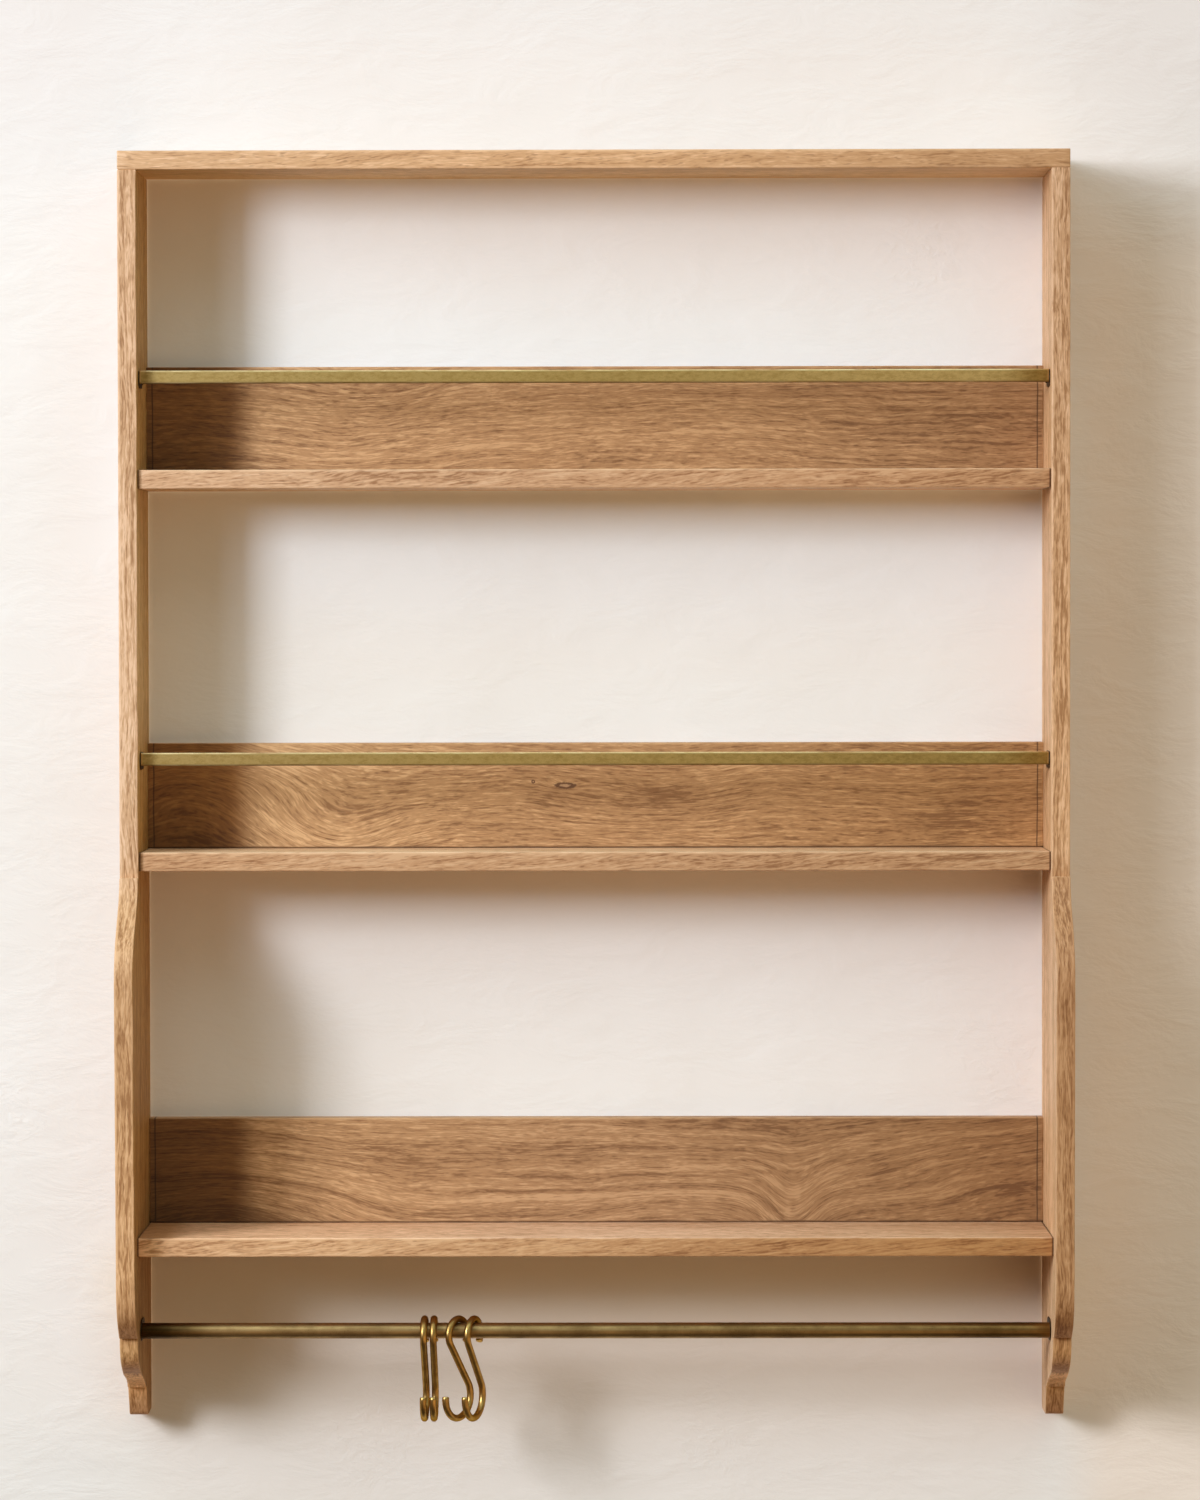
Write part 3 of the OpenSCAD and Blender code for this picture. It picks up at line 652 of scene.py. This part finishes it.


# Shelves: three boards dowelled between the sides, the lowest one standing further out. Their wood is
# pinker than the rails', and their tops are painted paler, as painted sheen. Their fronts are painted darker
# to the right, where the light falls off, and their undersides painted lighter, the lowest darker and
# yellower, as painted bounce light. The lowest one's top has the side's shadow painted on its left end,
# and its front is painted lighter there against the side's cast shadow.

SLANTING = (0, math.radians(6), 0)
PINKISH = ((224, 181, 143), (205, 158, 118), (163, 115, 76))
PAINTED_SHEEN_TOP = ((0, (1.25, 1.38, 1.40)),)
for name, shift, pith, seed, under, front, top in (
    ("upper_shelf", (2.1, 0.3, 0.2), (0, 0.35, 0.06), 21, (1.35, 1.5, 1.5),
     ((-366, (1, 1, 0.98)), (366, (0.88, 0.77, 0.64))), PAINTED_SHEEN_TOP),
    ("middle_shelf", (0.9, 0.8, 1.3), (0, 0.72, 1.1), 22, (1.15, 1.15, 1.05),
     ((-366, (0.90, 0.84, 0.74)), (0, (0.92, 0.86, 0.76)), (366, (0.86, 0.78, 0.66))), PAINTED_SHEEN_TOP),
    ("lower_shelf", (3.7, 0.1, 0.9), (0, 0.02, 0.31), 23, (0.98, 0.84, 0.56),
     ((-366, (1.40, 1.32, 1.18)), (-352, (1.34, 1.27, 1.12)), (-338, (1.07, 1.03, 0.92)),
      (366, (0.69, 0.52, 0.29))),
     ((-350, (0.84, 0.66, 0.46)), (-322, (1.36, 1.32, 1.30)), (0, (1.17, 1.19, 1.27)),
      (366, (0.97, 0.97, 0.93)))),
):
    fitted(
        plank(name, lying, 0.9 * MM, seed),
        "shelf_unit",
        wood(name + "_wood", SLANTING, shift, PINKISH, pith=pith, bands=0.35, fibres=0.9, flecks=0.4,
             figure=0.5, glints=0.35, painted_shading=((1, -1, 0, front), (2, 1, 0, top), (2, -1, 0, ((0, under),))),
             seams=((0, 365.6, 1.5),)),
        "board_wood", name,
    )


# Back rails: boards standing on the rear of each shelf, flush with the wall. They are browner than the
# shelves, and each shows its own figure. A scribed line runs down near both ends.

BROWNER = ((210, 166, 120), (181, 137, 93), (142, 100, 62))
SCRIBED = (0, 361, 0.8)


def back_rail(name, seed, shift, pith, joint, shaded, left, middle, right, **grain):
    """One rail, with its joint to the shelf at a height in mm.

    The left end of its front is painted with the deep shade that falls behind the side, and the front is
    painted darker to the right, where the light falls off.
    """
    # The soft edge of that painted shade, a little lighter.
    inner = tuple(1.12 * share for share in shaded)
    front = ((-366, shaded), (-300, inner), (-270, left), (0, middle), (366, right))
    material = wood(name + "_wood", FLAT, shift, BROWNER, pith=pith, seams=(SCRIBED, (2, joint, 2.0)),
                    painted_shading=((1, -1, 0, front),), **grain)
    return fitted(plank(name, standing, 0.7 * MM, seed), "shelf_unit", material, "rail_wood", name)


upper_rail = back_rail(
    "upper_back_rail", 31, (0.2, 0.6, 0.1), (0, 0.52, 0.35), -37,
    (0.39, 0.28, 0.14), (1.02, 1.0, 0.98), (0.93, 0.87, 0.81), (0.80, 0.73, 0.66),
    bands=0.3, fibres=0.8, flecks=0.35, figure=0.5, glints=0.35,
    figures=((-190, 10, 90, 60, 10), (90, -10, 120, 40, -8)),
    spots=((-140, 15, 60, 12, 0.12), (30, 12, 40, 14, 0.10), (250, 0, 90, 30, 0.14)),
)
back_rail(
    "middle_back_rail", 32, (1.1, 0.9, 0.7), (0, 1.3, 0.5), -344,
    (0.47, 0.33, 0.16), (1.10, 1.10, 1.06), (0.99, 0.93, 0.86), (0.88, 0.78, 0.62),
    bands=0.35, fibres=0.8, flecks=0.4, figure=0.4, glints=0.3,
    figures=((-330, -290, 90, 60, -42), (-215, -330, 60, 35, 22), (-24.5, -293, 16, 5, 5),
             (60, -300, 60, 40, 8)),
    spots=((-205, -314, 50, 8, 0.32), (-320, -335, 30, 10, 0.3), (57, -300, 28, 26, 0.22),
           (300, -320, 40, 20, 0.25)),
    knots=((-24.5, -293, 9.0, 2.6), (-50.7, -289.7, 1.6, 1.6)),
)
back_rail(
    "lower_back_rail", 33, (2.3, 0.2, 1.7), (0, 0.26, 1.28), -651,
    (0.34, 0.24, 0.12), (1.04, 1.02, 1.0), (0.88, 0.83, 0.82), (0.65, 0.57, 0.47),
    bands=0.8, fibres=0.75, flecks=0.35, figure=0.3, glints=0.25,
    figures=((-320, -665, 120, 75, -52), (160, -650, 26, 46, 27), (60, -655, 80, 40, -14),
             (390, -600, 120, 60, -34)),
    spots=((335, -622, 24, 13, 0.35), (165, -628, 3, 8, -0.35), (157, -642, 3, 8, -0.35),
           (-300, -652, 45, 10, 0.2), (40, -588, 75, 3, 0.32), (-60, -576, 90, 9, -0.18),
           (227, -601, 26, 5, 0.3)),
)


# Dowels: turned beech pegs glued in blind bores. They are seen only when the shelf is taken apart.

BEECH = ((226, 196, 158), (212, 178, 136), (180, 142, 100))
pegs = wood("beech_peg", FLAT, (0.4, 0.4, 0.4), BEECH, bands=0.3)
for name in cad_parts:
    if name.endswith("_dowels"):
        recoated(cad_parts[name], pegs)


# End plates: six small rounded plates of blackened iron, screwed to the inner faces of the sides. Each
# holds the tenon of a bar or of the rod at its front end.

# Shader group: the skin of aged metal.
tarnish, given, result = new_group(
    "tarnish",
    (("Place", "Vector"), ("Bright", "Color"), ("Dull", "Color"), ("Worn colour", "Color"),
     ("Blotches", "Vector"), ("Streaks", "Vector"), ("Patina", "Float", 0.5), ("Rub", "Float", 0.5),
     ("Roughness", "Float", 0.4), ("Worn", "Float", 0.0)),
    (("Colour", "Color"), ("Roughness", "Float"), ("Height", "Float")),
)
blotches = grainy(tarnish, given["Place"], given["Blotches"], 3.0, 0.6)
streaks = grainy(tarnish, given["Place"], given["Streaks"], 2.0, 0.6)
specks = grainy(tarnish, given["Place"], (900, 900, 900), 2.0)
skin = calc(tarnish, "MULTIPLY_ADD", blotches, 0.65, calc(tarnish, "MULTIPLY", streaks, 0.35))
skin = calc(tarnish, "MULTIPLY", between(tarnish, skin, 0.36, 0.64), given["Patina"])
skin = calc(tarnish, "MULTIPLY_ADD", between(tarnish, specks, 0.55, 0.75), 0.25, skin)
rubbed = calc(tarnish, "MULTIPLY", given["Worn"], given["Rub"])
rubbed = calc(tarnish, "MULTIPLY", rubbed, between(tarnish, blotches, 0.3, 0.6, 0.4, 1.0))
colour = blended(tarnish, skin, given["Bright"], given["Dull"])
colour = blended(tarnish, rubbed, colour, given["Worn colour"])
rough = calc(tarnish, "MULTIPLY_ADD", skin, 0.18, given["Roughness"])
height = calc(tarnish, "MULTIPLY_ADD", blotches, 0.5, calc(tarnish, "MULTIPLY", specks, 0.5))
feed(tarnish, result["Colour"], colour)
feed(tarnish, result["Roughness"], calc(tarnish, "SUBTRACT", rough, calc(tarnish, "MULTIPLY", rubbed, 0.1)))
feed(tarnish, result["Height"], height)


def metal(name, bright, dull, metallic, roughness, blotch=(40, 60, 60), streak=(12, 300, 300),
          worn_colour=None, patina=0.5, rub=0.5, stops=EVEN, shading_by_height=EVEN, rim=(1, 1, 1)):
    """Aged metal for one kind of fitting: a dull skin, brighter where hands and edges rub it.

    Stops of toned() along X and with the height paint light, shade and reflections onto it, and rim
    tints it where it turns away.
    """
    material, tree, shader, place = new_material(name)
    values = {"Place": place, "Bright": painted(*bright), "Dull": painted(*dull),
              "Worn colour": painted(*(worn_colour or bright)), "Blotches": blotch, "Streaks": streak,
              "Patina": patina, "Rub": rub, "Roughness": roughness, "Worn": worn_edges(tree)}
    body = fed(tree, "ShaderNodeGroup", values, node_tree=tarnish).outputs
    colour = toned(tree, place, toned(tree, place, body["Colour"], 0, stops), 2, shading_by_height)
    surfaced(tree, shader, colour, body["Roughness"], body["Height"], strength=0.3, distance=0.12 * MM)
    shader.inputs["Metallic"].default_value = metallic
    shader.inputs["Specular Tint"].default_value = (*rim, 1)
    return material


def oblong(low, high, runs=12):
    """Outline of a plate with round ends: (y, z) points within a box."""
    radius = (high.z - low.z) / 2
    middle = (high.z + low.z) / 2
    run = [math.pi * i / runs - math.pi / 2 for i in range(runs + 1)]
    back = [(high.y - radius + radius * math.cos(a), middle + radius * math.sin(a)) for a in run]
    front = [(low.y + radius - radius * math.cos(a), middle - radius * math.sin(a)) for a in run]
    return back + front


# How far the shown plates fall short of their solids: in thickness, at the front, and at the bars' tops.
THINNED, ROD_FRONT, BAR_FRONT, BAR_TOP = 0.9 * MM, 3.5 * MM, 6.0 * MM, 3.0 * MM


def plate_box(name, side):
    """The box of one plate: thin, with its front end behind the bar or rod and its top level with the bar."""
    low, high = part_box(f"{name}_{side}")
    if side == "left":
        high.x -= THINNED
    else:
        low.x += THINNED
    if name == "rod_plate":
        low.y += ROD_FRONT
    else:
        low.y += BAR_FRONT
        high.z -= BAR_TOP
    return low, high


PLATES = [
    (name, side)
    for name in ("upper_bar_plate", "middle_bar_plate", "rod_plate")
    for side in ("left", "right")
]
iron = metal("blackened_iron", (70, 56, 42), (38, 31, 25), 0.7, 0.5, worn_colour=(110, 86, 58), rub=0.7)
for name, side in PLATES:
    low, high = plate_box(name, side)
    plate = eased_piece(
        f"{name}_{side}", oblong(low, high), low.x, high.x, lambda u, v, level: (level, u, v), 0.3 * MM, 5,
        step=0.004, wander=0.3
    )
    fitted(plate, "shelf_unit", iron, "plate_iron", f"{name}_{side}")


# Plate screws: one round-headed slotted screw in the rear of each plate, driven into the side. A tree of
# nodes sets one screw on each point and turns its slot at random.

def lathed(profile, runs):
    """A closed turned mesh: profile points are (place along X, radius), and both ends are on the axis."""
    made = bmesh.new()
    turns = [2 * math.pi * i / runs for i in range(runs)]
    rings = []
    for place, radius in profile:
        around = turns if radius > 0 else turns[:1]
        rings.append([made.verts.new((place, radius * math.cos(a), radius * math.sin(a))) for a in around])
    for one, two in zip(rings, rings[1:]):
        for i in range(runs):
            j = (i + 1) % runs
            if len(one) == 1:
                made.faces.new((one[0], two[i], two[j]))
            elif len(two) == 1:
                made.faces.new((one[i], two[0], one[j]))
            else:
                made.faces.new((one[i], two[i], two[j], one[j]))
    return mesh_of("turned", made)


def shape_of(piece):
    """The plain mesh that a piece's modifiers make."""
    bpy.context.view_layer.update()
    return bpy.data.meshes.new_from_object(piece.evaluated_get(bpy.context.evaluated_depsgraph_get()))


def cut_by(piece, cutter):
    """Cuts one closed piece out of another and removes the cutter."""
    saw = piece.modifiers.new("cut", "BOOLEAN")
    saw.operation = "DIFFERENCE"
    saw.solver = "EXACT"
    saw.object = cutter
    shape = shape_of(piece)
    piece.modifiers.clear()
    piece.data = shape
    smoothed(shape)
    bpy.data.objects.remove(cutter)


HEAD_RADIUS, HEAD_HEIGHT, SHANK_RADIUS = 4.0 * MM, 2.8 * MM, 1.75 * MM
SLOT_FLOOR, SLOT_TOP, SLOT_REACH, SLOT_SHARE = 1.7 * MM, 4 * MM, 8 * MM, 0.085
SHANK_END, SHANK_TIP = -9 * MM, -12 * MM
dome = (HEAD_RADIUS ** 2 + HEAD_HEIGHT ** 2) / (2 * HEAD_HEIGHT)
spread = math.asin(HEAD_RADIUS / dome)
angles = [spread * k / 9 for k in range(10)]
profile = [(HEAD_HEIGHT - dome * (1 - math.cos(a)), dome * math.sin(a)) for a in angles]
profile += [(0.0, HEAD_RADIUS * 0.97), (0.0, SHANK_RADIUS), (SHANK_END, SHANK_RADIUS), (SHANK_TIP, 0.0)]
screw = placed("screw_pattern", smoothed(lathed(profile, 36)))
block = lathed([(SLOT_FLOOR, 0), (SLOT_FLOOR, SLOT_REACH), (SLOT_TOP, SLOT_REACH), (SLOT_TOP, 0)], 4)
block.transform(Matrix.Diagonal((1, 1, SLOT_SHARE, 1)) @ Matrix.Rotation(math.pi / 4, 4, "X"))
cut_by(screw, placed("slot_cutter", block))

spots, turns = [], []
for name, side in PLATES:
    low, high = plate_box(name, side)
    face, turn = (high.x, 0.0) if side == "left" else (low.x, math.pi)
    spots.append((face, high.y - (high.z - low.z) / 2, (low.z + high.z) / 2))
    turns.append(turn)
mesh = bpy.data.meshes.new("screw_places")
mesh.from_pydata(spots, [], [])
mesh.attributes.new("facing", "FLOAT", "POINT").data.foreach_set("value", turns)
screw_places = placed("end_plate_screws", mesh)


def new_geometry_tree(name, *inputs):
    """A geometry tree that takes and gives a geometry, with a Finish and other named inputs."""
    geometry = ("Geometry", "Geometry")
    return new_group(name, (geometry, *inputs, ("Finish", "Material")), (geometry,), "GeometryNodeTree")


def ended(tree, geometry, finish, result):
    """The end of a geometry tree: its instances are made real and take their finish."""
    real = fed(tree, "GeometryNodeRealizeInstances", {0: geometry})
    done = fed(tree, "GeometryNodeSetMaterial", {"Geometry": real.outputs[0], "Material": finish})
    feed(tree, result["Geometry"], done.outputs[0])


def grown(piece, tree, values):
    """Runs a geometry tree on a piece, with values for its named inputs, and keeps only the plain mesh."""
    modifier = piece.modifiers.new("tree", "NODES")
    modifier.node_group = tree
    for item in tree.interface.items_tree:
        if item.in_out == "INPUT" and item.name in values:
            modifier[item.identifier] = values[item.name]
    name, shape = piece.name, shape_of(piece)
    bpy.data.objects.remove(piece)
    return placed(name, smoothed(shape))


setting, given, result = new_geometry_tree("screws on points", ("Screw", "Object"), ("Turn seed", "Int"))
source = fed(setting, "GeometryNodeObjectInfo", {"Object": given["Screw"]})
facing = fed(setting, "GeometryNodeInputNamedAttribute", {"Name": "facing"}, data_type="FLOAT")
values = {2: 0.0, 3: math.pi, "Seed": given["Turn seed"]}
spin = fed(setting, "FunctionNodeRandomValue", values, data_type="FLOAT")
turning = fed(setting, "ShaderNodeCombineXYZ", {0: spin.outputs[1], 2: facing.outputs[0]})
values = {"Points": given["Geometry"], "Instance": source.outputs["Geometry"], "Rotation": turning.outputs[0]}
placing = fed(setting, "GeometryNodeInstanceOnPoints", values)
ended(setting, placing.outputs[0], given["Finish"], result)
screws = grown(screw_places, setting, {"Screw": screw, "Turn seed": 4, "Finish": iron})
bpy.data.objects.remove(screw)
fitted(screws, "shelf_unit", iron, "plate_iron", "end_plate_screws")


# Guard bars: flat brass bar with eased edges, waxed over a mottled olive patina. A turned tenon on each end
# passes through the plate into the side.

TENON = 7.1 * MM
OVERLAP = 0.5 * MM


def tenoned(bar, node, radius):
    """Adds the turned tenons of a bar or rod, from just inside its shoulders to the ends of its CAD node."""
    low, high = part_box(node)
    made = bmesh.new()
    made.from_mesh(bar.data)
    spot = Matrix.Translation((0, (low.y + high.y) / 2, (low.z + high.z) / 2))
    for end, inner in ((low.x, low.x + TENON + OVERLAP), (high.x, high.x - TENON - OVERLAP)):
        peg = lathed([(inner, 0), (inner, radius), (end, radius), (end, 0)], 24)
        peg.transform(spot)
        made.from_mesh(peg)
    made.to_mesh(bar.data)
    made.free()
    smoothed(bar.data)
    return bar


# Each bar has a painted highlight along its top edge and painted shade along its foot, and painted
# reflections along it: the upper bar lighter near its right end, the middle one darker, both dark at the end.
for name, right_end_shading in (("upper_guard_bar", (1.22, 1.22, 1.3)), ("middle_guard_bar", (0.86, 0.84, 0.76))):
    low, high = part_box(name)
    foot, top = low.z / MM, high.z / MM
    bar_brass = metal(
        name + "_brass", (208, 178, 112), (154, 123, 64), 1.0, 0.42, blotch=(110, 60, 200),
        streak=(190, 420, 420), worn_colour=(244, 220, 164), patina=0.7, rub=0.8,
        stops=((-359, (0.94, 0.94, 0.96)), (0, (0.98, 0.97, 0.92)), (318, right_end_shading),
               (358, (0.72, 0.60, 0.44))),
        shading_by_height=((foot, (0.42, 0.38, 0.34)), (foot + 0.9, (0.6, 0.56, 0.5)), (foot + 1.8, (1, 1, 1)),
                 (top - 1.4, (1, 1, 1)), (top - 0.7, (1.16, 1.17, 1.22)), (top, (1.2, 1.2, 1.3)))
    )
    bar = plank(name, standing, 0.6 * MM, 41, trim=TENON, wander=0.35)
    fitted(tenoned(bar, name, radius=2.1 * MM), "shelf_unit", bar_brass, "bar_brass", name)


# Hanging rod: half-inch brass rod, darker and browner than the bars, with turned tenons in its plates.

# The rod is painted nearly black at its left end and darker towards its right end, with a lighter band beside
# the dark left end, as painted shade and painted reflection of the sides.
rod_brass = metal(
    "dark_brass", (184, 150, 98), (116, 88, 50), 1.0, 0.38, blotch=(30, 40, 40), streak=(6, 420, 420),
    worn_colour=(170, 138, 84), patina=0.8,
    stops=((-359, (0.22, 0.19, 0.15)), (-325, (0.55, 0.50, 0.44)), (-298, (1.16, 1.16, 1.22)), (0, (1, 1, 1)),
           (200, (0.85, 0.80, 0.72)), (359, (0.60, 0.52, 0.40)))
)
ROUNDING = ((0, 0.5 * MM), (0.15 * MM, 0.15 * MM), (0.5 * MM, 0))
RINGS = 48
low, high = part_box("hanging_rod")
radius = (high.z - low.z) / 2
start, stop = low.x + TENON, high.x - TENON
profile = [(start, 0)] + [(start + along, radius - inset) for along, inset in ROUNDING]
profile += [(start + (stop - start) * k / RINGS, radius) for k in range(1, RINGS)]
profile += [(stop - along, radius - inset) for along, inset in reversed(ROUNDING)] + [(stop, 0)]
turned_rod = lathed(profile, 48)
turned_rod.transform(Matrix.Translation((0, (low.y + high.y) / 2, (low.z + high.z) / 2)))
rod = tenoned(placed("hanging_rod", turned_rod), "hanging_rod", radius=4.0 * MM)
fitted(rod, "shelf_unit", rod_brass, "rod_brass", "hanging_rod")


# Keyhole hangers: two pressed zinc plates let into the back of the upper rail, each with two flat-headed
# screws. The rail is recessed for the plate and pocketed behind the keyhole.

def upright_slot(middle, half_width, bottom, top, runs=10):
    """Outline of an upright slot with round ends: (x, z) points round the centres of its ends."""
    run = [math.pi * i / runs for i in range(runs + 1)]
    upper = [(middle + half_width * math.cos(a), top + half_width * math.sin(a)) for a in run]
    return upper + [(middle - half_width * math.cos(a), bottom - half_width * math.sin(a)) for a in run]


HANGER_RADIUS, RECESS_RADIUS, RECESS_DEPTH = 8 * MM, 8.1 * MM, 1.6 * MM
POCKET_BOTTOM, POCKET_TOP, POCKET_RADIUS, POCKET_DEPTH = 0.0, 12 * MM, 5.5 * MM, 8 * MM
zinc = metal("zinc_plate", (196, 196, 192), (150, 150, 146), 0.9, 0.38, blotch=(90, 90, 90), patina=0.6)
for name in ("keyhole_hanger_left", "keyhole_hanger_right"):
    low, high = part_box(name)
    for half_width, bottom, top, depth in (
        (RECESS_RADIUS, low.z + HANGER_RADIUS, high.z - HANGER_RADIUS, RECESS_DEPTH),
        (POCKET_RADIUS, POCKET_BOTTOM, POCKET_TOP, POCKET_DEPTH),
    ):
        slot = upright_slot((low.x + high.x) / 2, half_width, bottom, top)
        cutter = eased_piece("rail_cutter", slot, -depth, 2 * MM, standing, 0.05 * MM, 1, step=1.0, wander=0)
        cut_by(upper_rail, cutter)
for name in ("keyhole_hanger_left", "keyhole_hanger_right", "keyhole_hanger_screws"):
    recoated(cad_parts[name], zinc)


# S-hooks: four lengths of round brass wire bent to an S, the lower loop wider than the upper one. A tree of
# nodes sweeps the wire along its bent line; the cut tips are slightly chamfered.

hook_brass = metal(
    "rubbed_brass", (192, 152, 88), (144, 108, 56), 1.0, 0.30, blotch=(110, 110, 110), streak=(60, 60, 200),
    worn_colour=(236, 204, 136), patina=0.6, rub=0.9, rim=(0.45, 0.34, 0.2)
)
# The solids' wire is a little thinner than what is shown, and both lie on the rod.
SOLID_RADIUS, SHOWN_RADIUS = 2.5 * MM, 2.8 * MM
UPPER_LOOP, LOWER_LOOP, HOOK_HEIGHT = 12.5 * MM, 17.0 * MM, 85 * MM
UPPER_TIP, LOWER_TIP = math.radians(34), math.radians(7)
TIP_SHARE, TIP_WEAR = 0.82, 2.6 * MM
ROD_DEPTH = -94 * MM
drop = HOOK_HEIGHT - UPPER_LOOP - LOWER_LOOP - 2 * SOLID_RADIUS
lean = math.asin((UPPER_LOOP + LOWER_LOOP) / drop)

bending, given, result = new_geometry_tree("wire along its line", ("Wire radius", "Float"), ("Sides", "Int"))
section = {"Radius": given["Wire radius"], "Resolution": given["Sides"]}
circle = fed(bending, "GeometryNodeCurvePrimitiveCircle", section)
thickness = bending.nodes.new("GeometryNodeInputRadius")
values = {"Curve": given["Geometry"], "Profile Curve": circle.outputs["Curve"], "Scale": thickness.outputs[0],
          "Fill Caps": True}
sweep = fed(bending, "GeometryNodeCurveToMesh", values)
ended(bending, sweep.outputs[0], given["Finish"], result)


def loop_of(centre, radius, rise, first, last, runs):
    """Points of one loop, as (forward, up); rise is 1 for the upper loop and -1 for the lower one."""
    angles = (first + (last - first) * i / runs for i in range(runs + 1))
    return [centre + radius * Vector((-math.cos(a), rise * math.sin(a))) for a in angles]


# The wire's middle line in the hook's own plane, with one more point close to each tip for the chamfer.
upper = loop_of(Vector((0, 0)), UPPER_LOOP, 1, -UPPER_TIP, math.pi + lean, 28)
lower = loop_of(Vector((0, -drop)), LOWER_LOOP, -1, -lean, math.pi + LOWER_TIP, 32)
upper.insert(1, upper[0].lerp(upper[1], 0.35))
lower.insert(-1, lower[-2].lerp(lower[-1], 0.65))
line = upper + [upper[-1].lerp(lower[0], k / 9) for k in range(1, 9)] + lower

for index, (x, turn) in enumerate(((-137.5, 2), (-129.9, 1), (-110.7, 34), (-98.0, 22.6)), 1):
    name = f"s_hook_{index}"
    low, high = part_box(name)
    centre = Vector((x * MM, ROD_DEPTH, high.z - UPPER_LOOP - 2 * SOLID_RADIUS + SHOWN_RADIUS))
    forward = Vector((-math.sin(math.radians(turn)), -math.cos(math.radians(turn)), 0))
    data = bpy.data.curves.new(name, "CURVE")
    data.dimensions = "3D"
    spline = data.splines.new("POLY")
    spline.points.add(len(line) - 1)
    spots = [centre + forward * ahead + Vector((0, 0, up)) for ahead, up in line]
    for point, spot in zip(spline.points, spots):
        point.co = (*spot, 1)
    spline.points[0].radius = spline.points[-1].radius = TIP_SHARE
    values = {"Wire radius": SHOWN_RADIUS, "Sides": 20, "Finish": hook_brass}
    hook = grown(placed(name, data), bending, values)
    from_tip = [min((v.co - tip).length for tip in (spots[0], spots[-1])) for v in hook.data.vertices]
    worn = hook.data.attributes.new("worn", "FLOAT", "POINT")
    worn.data.foreach_set("value", [float(away < TIP_WEAR) for away in from_tip])
    fitted(hook, f"hook_{index}", hook_brass, "hook_brass", name)
